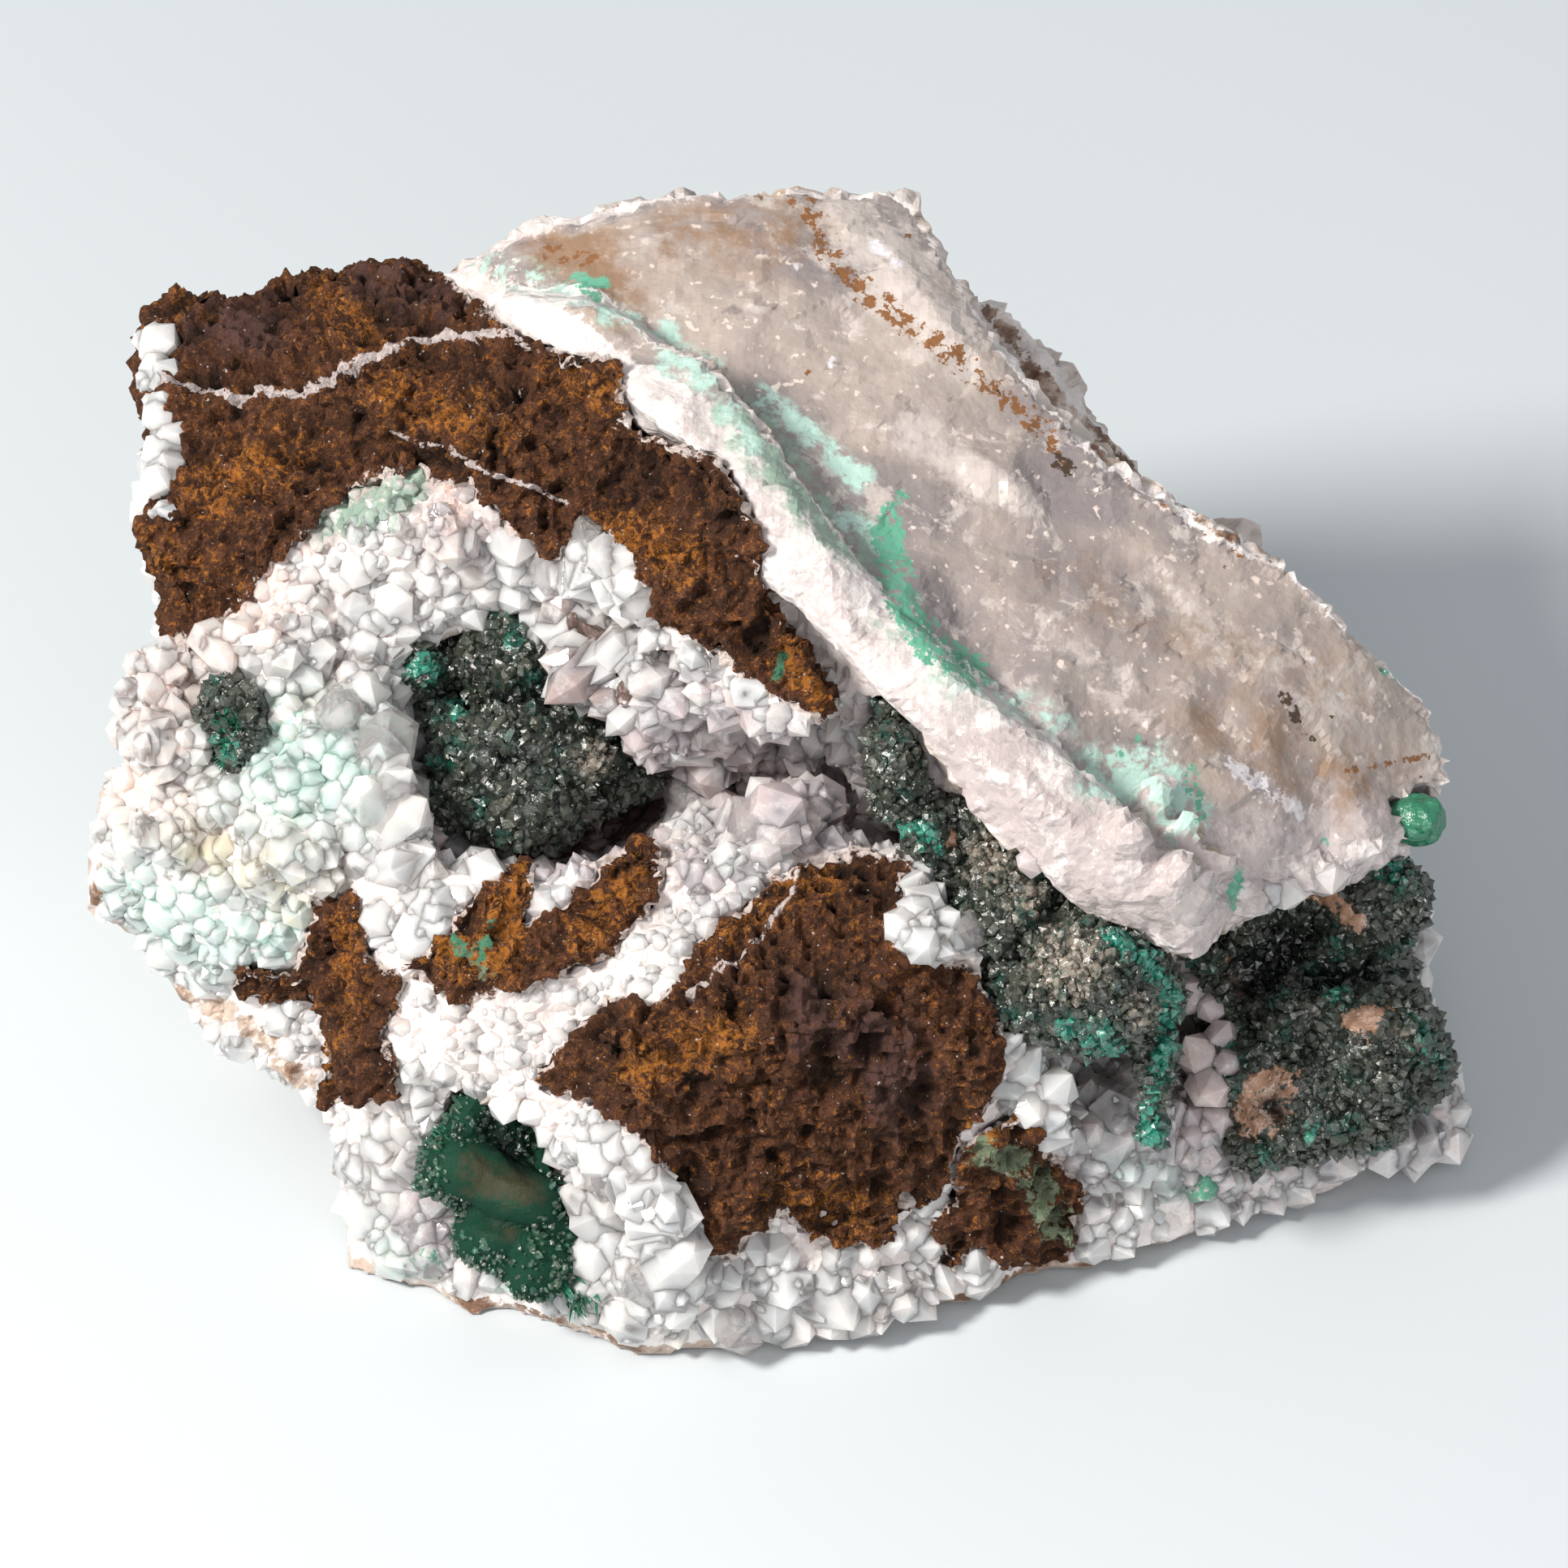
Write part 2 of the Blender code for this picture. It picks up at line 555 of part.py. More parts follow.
def on_malachite(point, width):
    """Whether a quartz point of this width at this place would stand in a malachite ball."""
    for _, balls in MALACHITE.values():
        for place, radius in balls:
            if (point - seen(*place)).length < (radius + KNOB_REACH) * MM + width / 2:
                return True
    return False


def druse(name, ground, fields, outside):
    """Quartz points over the ground, each standing on what the layout view shows at its place."""
    tree = surface_tree(ground)
    bm = bmesh.new()
    for (across, up), (reach_across, reach_up), count, thin, thick in fields:
        for _ in range(count):
            angle, share = random.uniform(0, 2 * math.pi), math.sqrt(random.random())
            side, rise = reach_across * share * math.cos(angle), reach_up * share * math.sin(angle)
            hit, normal = surface_point(tree, across + side, up + rise)
            if hit is None or hit.z < LOWEST_POINT_FOOT * MM:
                continue
            lean = Vector([random.gauss(0, POINT_LEAN) for _ in range(3)])
            direction = (normal + lean + TOWARD_VIEWER * POINT_TURN).normalized()
            width = random.uniform(thin, thick) * MM
            length = width * random.uniform(*POINT_LENGTHS)
            tip = hit + direction * width
            if outside and (in_hollow(hit) or in_hollow(tip)):
                continue
            if on_malachite(hit, width) or on_malachite(tip, width):
                continue
            add_point(bm, hit - direction * length * (SUNK_SHARE - 0.5), direction, width, length)
    return new_object(name, bm)


def surface_tree(obj):
    return BVHTree.FromObject(obj, bpy.context.evaluated_depsgraph_get())


def surface_point(tree, across, up):
    """The place and slope of the surface that the layout view shows at (across, up)."""
    start = seen(across, up, 0) + TOWARD_VIEWER * VIEW_DISTANCE * MM
    hit, normal, _, _ = tree.ray_cast(start, -TOWARD_VIEWER)
    return hit, normal


def grow_lumps(name, balls, knobs, voxel, triangles):
    """Balls grown together, with smaller knobs over them, as malachite grows."""
    bm = bmesh.new()
    for middle, radius in balls:
        for depth in (0, ROOT_DEPTH):
            place = Matrix.Translation(middle - TOWARD_VIEWER * depth * radius * MM)
            bmesh.ops.create_icosphere(bm, subdivisions=2, radius=radius * MM, matrix=place)
        for _ in range(knobs):
            way = Vector([random.gauss(0, 1) for _ in range(3)]).normalized()
            knob = radius * random.uniform(*KNOB_SIZES)
            place = Matrix.Translation(middle + way * radius * KNOB_PLACE * MM)
            bmesh.ops.create_icosphere(bm, subdivisions=2, radius=knob * MM, matrix=place)
    lumps = new_object(name, bm)
    remeshed(lumps, voxel)
    applied(lumps)
    thinned(lumps, triangles)
    return largest_body(lumps)


def grow_cluster(name):
    knobs, balls = MALACHITE[name]
    middles = [(seen(*place), radius) for place, radius in balls]
    return grow_lumps(name, middles, knobs, CLUSTER_VOXEL, CLUSTER_TRIANGLES)


def apart(one, other):
    """Whether two objects' boxes stay more than the gap from each other along some axis."""
    for axis in range(3):
        low, high = [v.co[axis] for v in one.data.vertices], [v.co[axis] for v in other.data.vertices]
        if min(low) > max(high) + GAP * MM or min(high) > max(low) + GAP * MM:
            return True
    return False


def cut_by(host, cutter):
    """Takes the cutter out of the host where they can meet; the cutter is removed either way."""
    if apart(host, cutter):
        drop(cutter)
    else:
        combined(host, cutter, "DIFFERENCE")


def seat(piece, hosts):
    """Cuts a socket for the piece, with a gap round it, into each host that it reaches."""
    for host in hosts:
        cut_by(host, inflated_copy(piece, GAP))


def finish_in(obj, kind):
    colour, roughness = COLOURS[kind]
    material = bpy.data.materials.new(obj.name + "_finish")
    material.use_nodes = True
    shader = material.node_tree.nodes["Principled BSDF"]
    shader.inputs["Base Color"].default_value = (*colour, 1)
    shader.inputs["Roughness"].default_value = roughness
    obj.data.materials.clear()
    obj.data.materials.append(material)


def gather(objects):
    """Puts the finished pieces in a collection named for the specimen."""
    collection = bpy.data.collections.new("malachite_specimen")
    bpy.context.scene.collection.children.link(collection)
    for obj in objects:
        bpy.context.scene.collection.objects.unlink(obj)
        collection.objects.link(obj)


def main():
    random.seed(11)
    for obj in list(bpy.data.objects):
        bpy.data.objects.remove(obj)

    rock, crust = make_rock()
    limonite = [limonite_patch(rock, name) for name in LIMONITE]
    malachite = [grow_cluster(name) for name in MALACHITE]
    seat(crust, malachite)
    combined(crust, druse("crust_druse", crust, CRUST_DRUSE, False), "UNION")
    combined(crust, crust_form("crust_limit", GAP), "INTERSECT")
    combined(rock, druse("druse", rock, DRUSE, True), "UNION")
    for name, (middle, half_widths) in HOLLOWS.items():
        combined(rock, hollow(name, middle, half_widths), "DIFFERENCE")
    cut_patch_seats([rock, crust])

    tree = surface_tree(rock)
    for name, balls in SINGLE_LUMPS.items():
        spots = [(surface_point(tree, across, up)[0], radius) for across, up, radius in balls]
        malachite.append(grow_lumps(name, spots, SINGLE_KNOBS, LUMP_VOXEL, LUMP_TRIANGLES))
    for piece in malachite:
        seat(piece, [rock] + limonite)

    finish_in(rock, "quartz_rock")
    finish_in(crust, "quartz_rock")
    for piece in limonite:
        finish_in(piece, "limonite")
    for piece in malachite:
        finish_in(piece, "malachite")
    gather([rock, crust] + limonite + malachite)


main()
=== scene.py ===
import math

import bpy
import numpy as np
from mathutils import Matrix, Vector
from mathutils.bvhtree import BVHTree


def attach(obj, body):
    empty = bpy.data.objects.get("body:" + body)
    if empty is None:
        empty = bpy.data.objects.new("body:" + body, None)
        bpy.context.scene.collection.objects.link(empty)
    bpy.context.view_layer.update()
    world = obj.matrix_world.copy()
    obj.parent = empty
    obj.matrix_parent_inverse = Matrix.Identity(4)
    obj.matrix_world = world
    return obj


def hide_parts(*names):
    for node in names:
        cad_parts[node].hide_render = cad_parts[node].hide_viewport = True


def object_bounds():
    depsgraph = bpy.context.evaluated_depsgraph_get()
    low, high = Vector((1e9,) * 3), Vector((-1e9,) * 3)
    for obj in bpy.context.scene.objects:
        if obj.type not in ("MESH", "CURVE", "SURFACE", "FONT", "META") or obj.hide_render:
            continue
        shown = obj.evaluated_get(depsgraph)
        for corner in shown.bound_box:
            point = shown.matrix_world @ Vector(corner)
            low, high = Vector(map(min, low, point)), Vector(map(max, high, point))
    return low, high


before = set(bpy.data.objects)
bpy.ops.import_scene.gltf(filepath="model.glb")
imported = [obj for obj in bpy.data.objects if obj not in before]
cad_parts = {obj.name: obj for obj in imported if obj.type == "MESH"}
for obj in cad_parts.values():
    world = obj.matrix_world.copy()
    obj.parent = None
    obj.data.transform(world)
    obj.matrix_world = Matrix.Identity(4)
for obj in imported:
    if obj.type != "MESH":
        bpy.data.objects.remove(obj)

solid_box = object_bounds()

MM = 0.001

# The layout view, from which places on the specimen are named: (across, up) as it shows, in millimetres
VIEW_TILT = math.radians(40)
FRONT_TO_ORIGIN = 33.0
TOWARD_VIEWER = Vector((0, -math.cos(VIEW_TILT), math.sin(VIEW_TILT)))
UP_IN_VIEW = Vector((0, math.sin(VIEW_TILT), math.cos(VIEW_TILT)))

# Camera: how far away it stands, the width it shows, and the height in the layout view that it looks at
CAMERA_DISTANCE = 2.0
SHOWN_WIDTH = 111.2 * MM
LOOKED_AT_UP = 42.54

# Random numbers along each side of the block that the noise repeats
LATTICE = 32

# Mesh sizes: how far apart the corners of each finished surface lie
ROCK_MESH = 0.62 * MM
HOLLOW_MESH = 0.4 * MM
LIMONITE_MESH = 0.28 * MM
MALACHITE_MESH = 0.3 * MM

# Corners of a solid this close are one
WELDED_WITHIN = 0.002 * MM

# How far the growths are thickened, over the gap that their solids keep from the rock
LIMONITE_THICKENED = 0.5 * MM
MALACHITE_THICKENED = 0.15 * MM

# Malachite: the depth of its recesses and the height of its swellings, in millimetres
RECESS_DEPTH = 3.2
SWELL_HEIGHT = 1.9

# How far surfaces and the tips of points may pass the top and the far sides of the solids' box
SURFACE_OVER = 0.5 * MM
TIP_OVER = 0.8 * MM

# Surfaces keep their shape up to the first height, and have their full relief from the second
HELD_BELOW = 0.4 * MM
FREE_ABOVE = 2.5 * MM

# A sight line from the surface starts this far off it, clear of its own roughness
SIGHT_GAP = 2.5 * MM

# A sight line onto the specimen starts this far outside it, in metres
SIGHT_LENGTH = 0.2

# The middle of the big hollow, in millimetres
HOLLOW_MIDDLE = [-16, 10.5, 34]

# No crystal reaches lower than this over the table
FOOT_GAP = 0.15 * MM

# How many places are tried for the druse, and for the points in the big hollow
DRUSE_TRIES = 17000
HOLLOW_TRIES = 2000

# The slab of chalcedony: the outline of its face
SLAB = [
    (-24.2, 79.4), (-21.1, 81.8), (-15.9, 82.9), (-9.6, 84.5), (2.2, 86), (9.3, 86), (12, 81), (15.2, 75),
    (22.7, 66), (31.9, 60), (38.8, 57), (42.3, 54), (48, 50), (49.5, 44.6), (48.5, 39), (45.7, 38),
    (38.8, 37.7), (34.2, 36.3), (29.6, 34.3), (27.3, 37.1), (21.5, 41.5), (16.9, 46.1), (12.3, 49.2),
    (8.9, 52.1), (5.4, 56.7), (1.4, 61.3), (-2.1, 65.9), (-6.1, 69.4), (-10.7, 71.7), (-15.3, 75.1),
    (-19.9, 77.1),
]

# Markings of the front, each a list of (reach, strength, line). A line is points in the layout view, and the
# marking fades from it over the reach. All are colour, but for recess and swell, which shape the malachite;
# the recess is also painted dark there as shade.
MARKS = {
    "green": [
        (2.2, 1.0, [(7.3, 60.5), (7.9, 57.5), (8.8, 54.4), (10.3, 52.1), (13.5, 50.4)]),
        (1.3, 0.9, [(-14.6, 78.6), (-13.4, 77.4)]), (0.9, 1.0, [(-12.7, 78.2)]),
        (1.2, 0.9, [(8.3, 62.8), (6.9, 60.9)]), (0.6, 1.0, [(14.3, 57.0)]), (0.8, 0.9, [(25.0, 45.8)]),
        (0.7, 0.9, [(23.8, 44.6)]), (1.5, 1.0, [(42.9, 51.2), (44.2, 50.6)]),
        (1.1, 0.9, [(31.9, 36.6), (31.9, 34.0)]), (0.9, 0.8, [(38.4, 38.3)]),
        (1.2, 0.7, [(28.6, 43.5), (29.3, 40.0)]), (0.9, 0.8, [(-39.9, 44.3)]),
        (1.6, 0.5, [(-24.2, 32.2), (-21.5, 30.0), (-20.5, 32.5)]), (0.8, 0.8, [(22.3, 17.5)]),
        (1.3, 0.8, [(28.7, 14.5), (30.5, 14.0)]), (1.0, 0.7, [(9.5, 11.0)]),
        (0.7, 0.8, [(-0.2, 51.5), (-0.6, 50.0)]), (0.8, 0.6, [(-6.0, 42.0)]), (0.8, 0.7, [(-25.4, 9.2)]),
    ],
    "aqua": [
        (1.7, 1.0, [(-1.5, 69.9), (2.0, 67.1), (5.4, 64.2)]), (1.7, 0.9, [(-12.6, 75.9), (-7.8, 74.3)]),
        (2.6, 0.9, [(-8.0, 72.6), (-5.0, 71.2)]), (3.0, 0.6, [(-21.6, 79.7), (-18.2, 78.6), (-14.7, 77.0)]),
        (4.0, 1.0, [(22.6, 43.2), (26.1, 43.2), (28.0, 40.5)]),
        (3.0, 0.6, [(11.2, 50.4), (15.2, 48.6), (19.5, 46.5)]), (1.5, 0.9, [(3.6, 62.0), (6.8, 59.5)]),
        (2.2, 0.7, [(-3.8, 68.9), (-2.0, 66.6)]), (7.5, 0.8, [(-36.3, 45.5), (-35.0, 42.6), (-31.4, 43.9)]),
        (6.0, 0.7, [(-46.5, 35.0), (-41.0, 32.5), (-36.5, 31.5)]),
        (3.0, 0.4, [(-29.0, 11.0), (-26.5, 8.5)]), (2.0, 0.6, [(-20.0, 6.5)]), (2.0, 0.4, [(-4.0, 36.5)]),
        (2.5, 0.5, [(24.0, 16.0), (27.0, 14.5)]),
    ],
    "verdigris": [
        (3.5, 0.9, [(-4.2, 69.0), (-0.9, 65.9), (2.0, 62.5), (4.8, 59.6)]),
        (3.0, 1.0, [(-34.3, 61.3), (-30.9, 61.9), (-26.8, 63.0)]),
        (2.0, 0.9, [(-26.8, 63.0), (-25.9, 65.5)]), (3.5, 0.5, [(7.0, 54.0), (13.0, 49.0)]),
    ],
    "rust": [
        (0.8, 0.9, [(1.1, 84.1), (3.7, 79.2), (7.7, 76.3), (12.9, 72.8), (16.9, 68.8), (19.8, 65.3)]),
        (2.4, 0.75, [(1.1, 84.5), (4.5, 78.5), (8.5, 75.5), (14.0, 71.5), (18.9, 67.5)]),
        (0.7, 1.0, [(1.7, 71.7)]), (0.8, 0.9, [(8.9, 81.5)]),
        (0.6, 0.9, [(40.0, 43.5), (42.3, 43.8), (46.3, 44.6)]), (1.8, 0.7, [(-17.0, 80.5), (-13.5, 79.8)]),
        (1.5, 0.6, [(-2.0, 84.5), (0.5, 84.0)]),
        (1.6, 0.5, [(-1.3, 84.6), (9.5, 85.4), (13.8, 77.5), (18.5, 70.0), (23.5, 64.5), (32.5, 58.8),
                    (42.8, 52.5), (47.8, 46)]),
        (1.6, 0.5, [(-16, 83.5), (-9, 84)]),
    ],
    # Painted shade: darkens the recesses of the big hollow and the crystals in them where shade falls,
    # partly a brown stain on the crystals
    "painted_shade": [
        (3.4, 1.0, [(-14.8, 54.2), (-13.6, 50.5), (-12.0, 48.2)]),
        (2.0, 1.0, [(-24.6, 37.5), (-24.4, 39.5)]), (3.0, 0.9, [(-16.0, 38.2), (-10.0, 40.5)]),
    ],
    "umber": [
        (1.1, 1.0, [(19.4, 65.6), (20.2, 64.9)]), (0.8, 1.0, [(35.5, 48.8), (36.3, 47.2)]),
        (0.6, 1.0, [(38.8, 47.2)]), (0.5, 1.0, [(37.6, 45.8), (36.8, 46.3)]), (0.5, 0.9, [(12.3, 74.0)]),
        (0.4, 1.0, [(41.5, 43.7)]), (0.5, 0.9, [(6.5, 78.0)]), (0.5, 0.9, [(3.0, 81.7)]),
        (0.4, 0.9, [(15.4, 70.4)]), (0.4, 0.9, [(31.3, 57.9)]), (0.5, 0.8, [(45.3, 43.0)]),
    ],
    "tan": [
        (4.5, 1.0, [(-17.0, 82.0), (-14.0, 79.5), (-12.6, 76.5)]), (6.0, 0.55, [(-8, 82), (0, 82)]),
        (8.0, 0.45, [(30.7, 46.3), (36.5, 44.6), (42.3, 41.6)]),
        (6.0, 0.35, [(20, 57), (30, 53), (40, 49)]),
        (5.0, 0.7, [(-42.0, 38.5), (-38.3, 37.1), (-34.9, 35.4)]), (2.5, 0.5, [(-8, 3), (-12, 2.5)]),
        (4.0, 0.3, [(-26, 8), (-22, 5)]), (2.0, 0.5, [(-4.5, 1.8), (2, 1.2)]),
    ],
    "frost": [
        (1.3, 1.0, [(31.3, 44.0), (34.2, 42.3), (36.5, 40.6)]), (1.2, 0.7, [(6.5, 81), (8.0, 79.5)]),
        (1.0, 0.8, [(3.2, 72.5)]), (0.9, 0.8, [(12.5, 64.8)]), (1.2, 0.6, [(24.0, 60.5)]),
        (1.0, 0.7, [(0.9, 79.2)]), (0.8, 0.8, [(-5.5, 68.5)]), (1.5, 0.5, [(17.5, 58.5)]),
        (0.9, 0.8, [(37.5, 51.5)]), (0.8, 0.8, [(39.5, 48.8)]), (1.6, 0.5, [(29.0, 53.5)]),
        (1.2, 0.6, [(11.0, 68.5)]), (1.0, 0.6, [(34.0, 55.3)]),
    ],
    "pink": [
        (4.5, 0.65, [(-32.6, 63.0), (-28.0, 65.3), (-23.9, 64.2), (-23.4, 60.8)]),
        (2.5, 0.7, [(-36.0, 59.5), (-33.5, 59.5)]),
        (7.0, 0.75, [(-46.0, 43.0), (-41.0, 52.0), (-37.0, 56.0)]),
        (5.0, 0.5, [(-30.0, 26.0), (-24.0, 25.0), (-17.0, 25.5)]),
        (5.0, 0.3, [(-28.0, 15.0), (-26.5, 22.0)]), (2.0, 0.5, [(29.0, 24.0), (29.5, 20.0)]),
        (4.0, 0.3, [(1, 4), (9, 5)]),
    ],
    # Mauve tint of the quartz, partly painted shade in the hollows and under the slab's lip
    "mauve": [
        (9.0, 1.0, [(14.0, 43.5), (18.0, 38.5), (24.0, 35.5), (29.6, 31.5)]),
        (5.0, 0.5, [(-8.0, 69.5), (-1.0, 61.5), (6.0, 53.0)]), (5.0, 0.9, [(31.0, 37.0), (45.0, 41.0)]),
        (7.0, 1.0, [(-8.0, 46.0), (-1.0, 43.0), (3.5, 40.5)]),
        (5.0, 1.0, [(29.5, 29.0), (30.0, 23.0), (29.0, 17.6)]), (4.0, 0.7, [(-25.5, 13.0), (-24.0, 9.5)]),
        (4.0, 0.8, [(-14.0, 50.0)]), (5.0, 0.6, [(30.0, 14.0), (46.0, 19.0)]),
        (4.0, 0.6, [(11.0, 43.0), (8.0, 47.5)]), (6.0, 0.5, [(20.0, 14.0), (26.0, 22.0)]),
        (6.0, 0.7, [(-16.0, 36.0), (-6.0, 37.0)]),
        (4.5, 1.0, [(-33.0, 62.0), (-28.0, 65.0), (-23.9, 63.5), (-22.8, 60.8)]),
    ],
    "skin": [
        (1.3, 0.9, [(-16, 84.6), (-9, 86), (2, 86.8), (10, 86.5), (13.5, 79), (17.5, 72.5), (23.5, 66),
                    (32.5, 60), (42.8, 54.5), (48.8, 49), (50, 44)]),
        (1.7, 1.0, [(-49.6, 36.5), (-49.4, 32.0), (-45.6, 28.6), (-39.2, 26.0), (-33.5, 20.5),
                    (-32.0, 13.0), (-30.8, 6.6)]),
        (1.3, 1.0, [(-28.0, 4.0), (-18.0, 1.8), (-10.7, -0.2), (-5.5, 0.8), (4.8, 2.2), (10.6, 3.2),
                    (28.0, 8.6), (49.7, 15.4)]),
    ],
    "milk": [
        (5.0, 1.0, [(4.5, 82.5), (8.5, 79.0), (11.5, 73.5)]), (3.0, 0.9, [(9.0, 67.5), (15.5, 62.5)]),
        (2.6, 0.7, [(26.0, 57.0), (32.0, 53.0)]), (5.0, 0.6, [(33.0, 51.5), (40.0, 48.5)]),
        (2.5, 0.6, [(20.0, 52.5), (24.0, 49.5)]),
    ],
    "vein": [
        (0.55, 1.0, [(-46.0, 71.6), (-43.5, 71.3), (-41.0, 70.8), (-39.3, 70.0), (-37.2, 70.4),
                     (-34.0, 70.3), (-32.2, 71.6), (-30.3, 72.6), (-26.5, 74.2), (-22.5, 74.4),
                     (-18.8, 74.6)]),
        (0.35, 0.8, [(-23.8, 65.9), (-20.5, 64.4), (-17.3, 63.4), (-15.3, 62.3)]),
        (0.3, 0.6, [(-28.0, 67.5), (-25.2, 66.6), (-23.4, 66.4)]),
        (0.4, 0.8, [(1.0, 36.2), (0.2, 34.6), (-0.8, 33.2), (-2.1, 31.4), (-4.5, 29.5), (-7.0, 28.0)]),
    ],
    "bruise": [
        (4.5, 0.9, [(-40.5, 75.5), (-37.5, 75.3)]), (4.0, 0.7, [(-30.0, 79.0), (-25.0, 77.0)]),
        (6.0, 0.8, [(2.0, 26.5), (7.0, 24.0), (8.0, 20.5)]),
    ],
    "ochre": [
        (3.5, 0.7, [(-41.0, 63.0), (-36.0, 66.0)]), (3.0, 0.6, [(-32.0, 77.5), (-29.5, 75.0)]),
        (3.0, 0.7, [(-28.0, 70.0), (-20.0, 67.5)]), (2.5, 0.7, [(-15.5, 71.0), (-12.0, 70.0)]),
        (3.0, 0.7, [(-12.0, 60.5), (-7.0, 58.5)]), (2.0, 0.9, [(0.0, 51.5), (3.5, 47.5)]),
        (2.0, 0.7, [(-41.5, 77.5), (-44.0, 76.5)]), (3.0, 0.9, [(-10.0, 22.5), (-4.0, 25.0)]),
        (2.5, 0.7, [(-6.0, 32.0), (3.0, 36.0)]), (3.5, 0.6, [(0.0, 13.0), (5.0, 12.0)]),
        (2.5, 1.0, [(-24.5, 31.0), (-20.0, 30.0), (-19.0, 36.0)]),
        (2.5, 0.8, [(-14.0, 32.0), (-10.0, 37.0)]), (2.0, 0.9, [(14.0, 17.5), (17.0, 19.5)]),
        (2.0, 0.7, [(-31.0, 33.0), (-31.0, 27.0), (-33.0, 22.5)]),
        (2.5, 0.5, [(-46.5, 60.0), (-42.0, 57.0)]),
    ],
    "teal": [
        (1.3, 1.0, [(23.1, 31.5), (25.3, 30.1), (27.0, 28.4), (27.1, 25.4), (26.7, 22.1), (25.6, 19.9),
                    (26.2, 17.4)]),
        (2.2, 0.9, [(22.0, 24.9), (23.1, 23.8)]), (1.4, 0.8, [(20.1, 25.4)]),
        (0.9, 1.0, [(7.7, 39.7), (9.9, 39.2), (10.7, 38.1)]), (1.0, 0.8, [(20.9, 34.0)]),
        (2.0, 0.8, [(39.1, 27.6)]), (1.8, 0.8, [(31.7, 24.6)]), (3.0, 0.7, [(43.5, 36.2)]),
        (4.5, 0.45, [(45.4, 23.5)]), (1.0, 1.0, [(37.5, 18.3)]), (3.0, 0.5, [(34.1, 16.1)]),
        (2.5, 0.5, [(39.4, 30.9)]), (1.8, 0.9, [(-20.4, 55.3)]), (1.0, 0.9, [(-17.1, 54.0)]),
        (2.2, 0.9, [(-25.4, 50.7)]), (1.8, 0.9, [(-23.1, 47.9)]), (1.0, 0.8, [(-27.1, 50.1)]),
        (1.2, 0.8, [(-19.0, 52.5)]), (1.6, 0.9, [(-39.6, 45.2)]), (0.8, 0.9, [(-24.5, 44.2)]),
    ],
    # Brownish dust on the malachite, partly painted glints of its crystals
    "dust_and_glints": [
        (5.0, 0.9, [(20.1, 29.8)]), (3.5, 0.9, [(14.6, 37.3)]), (3.0, 0.8, [(16.8, 34.5)]),
        (3.0, 0.7, [(25.3, 26.5)]), (2.2, 0.9, [(-9.5, 45.4)]), (2.6, 0.8, [(-13.5, 44.4)]),
        (2.0, 0.5, [(-19.5, 41.0)]), (2.5, 0.5, [(38.0, 26.0)]), (1.5, 0.7, [(44.0, 25.0)]),
    ],
    "flat": [
        (3.4, 1.0, [(33.6, 19.0), (34.6, 20.6)]), (2.4, 1.0, [(41.3, 25.7)]),
        (1.5, 1.0, [(31.9, 29.6), (32.6, 28.5)]), (1.5, 0.9, [(36.6, 35.6), (38.8, 34.5), (40.8, 32.6)]),
        (1.3, 0.8, [(11.7, 38.6)]),
    ],
    # Recesses sunk into the malachite, also painted dark there as shade
    "recess": [
        (3.0, 1.0, [(33.6, 29.4), (36.4, 31.4)]), (2.0, 0.9, [(38.0, 29.0), (42.0, 29.6)]),
        (1.6, 0.8, [(33.0, 25.5)]), (1.6, 1.0, [(-24.0, 49.0), (-21.5, 48.9), (-15.5, 48.9)]),
        (1.2, 0.8, [(-23.6, 52.0), (-23.2, 54.0)]), (2.0, 0.7, [(31.0, 31.8)]), (1.8, 0.7, [(-24.0, 53.0)]),
        (3.0, 0.7, [(-20.4, 18.6), (-18.0, 16.6)]), (1.1, 0.3, [(-23.4, 12.6), (-17.6, 10.8)]),
    ],
    "swell": [
        (2.9, 0.3, [(-21.8, 15.0), (-18.6, 13.7)]), (2.4, 0.2, [(-17.2, 8.2), (-16.2, 7.6)]),
        (6.0, 1.0, [(-18.6, 43.9)]), (4.2, 1.0, [(-19.6, 52.8)]), (1.9, 0.8, [(-25.4, 50.6)]),
        (5.4, 1.0, [(21.5, 28.2)]), (3.2, 0.9, [(15.6, 35.2)]), (2.0, 0.8, [(10.5, 38.2)]),
        (1.6, 0.8, [(7.6, 45.5), (8.2, 43.0)]), (6.5, 1.0, [(38.5, 21.8)]), (3.6, 1.0, [(41.8, 34.4)]),
        (2.4, 0.9, [(30.8, 31.6)]), (3.0, 0.8, [(44.0, 26.0)]),
    ],
    "brown": [
        (2.6, 1.0, [(-21.8, 15.0), (-18.6, 13.7)]), (1.6, 0.6, [(-21.5, 11.4), (-19.5, 10.6)]),
    ],
    "sage": [
        (2.0, 1.0, [(14.0, 16.5), (16.5, 15.5)]), (2.4, 0.9, [(18.0, 14.0), (19.5, 11.0)]),
        (1.5, 0.6, [(-22.5, 31.0), (-21.0, 29.0)]),
    ],
}


def layout(points):
    """Where world points show in the layout view: across and up, in millimetres."""
    behind, height = points[:, 1] / MM + FRONT_TO_ORIGIN, points[:, 2] / MM
    return points[:, 0] / MM, behind * math.sin(VIEW_TILT) + height * math.cos(VIEW_TILT)


def facing(slope):
    """How squarely each slope faces the layout view, from -1 to 1."""
    return slope @ np.array(TOWARD_VIEWER)


def ease(value, low, high):
    """From 0 at low to 1 at high, smoothly."""
    share = np.clip((value - low) / (high - low), 0, 1)
    return share * share * (3 - 2 * share)


def line_distance(across, up, line):
    """Distance in millimetres from each shown place to a line of shown points."""
    best = np.full(len(across), np.inf)
    for (ax, ay), (bx, by) in zip(line, line[1:] or line):
        dx, dy = bx - ax, by - ay
        share = np.clip(((across - ax) * dx + (up - ay) * dy) / max(dx * dx + dy * dy, 1e-9), 0, 1)
        best = np.minimum(best, np.hypot(across - ax - share * dx, up - ay - share * dy))
    return best


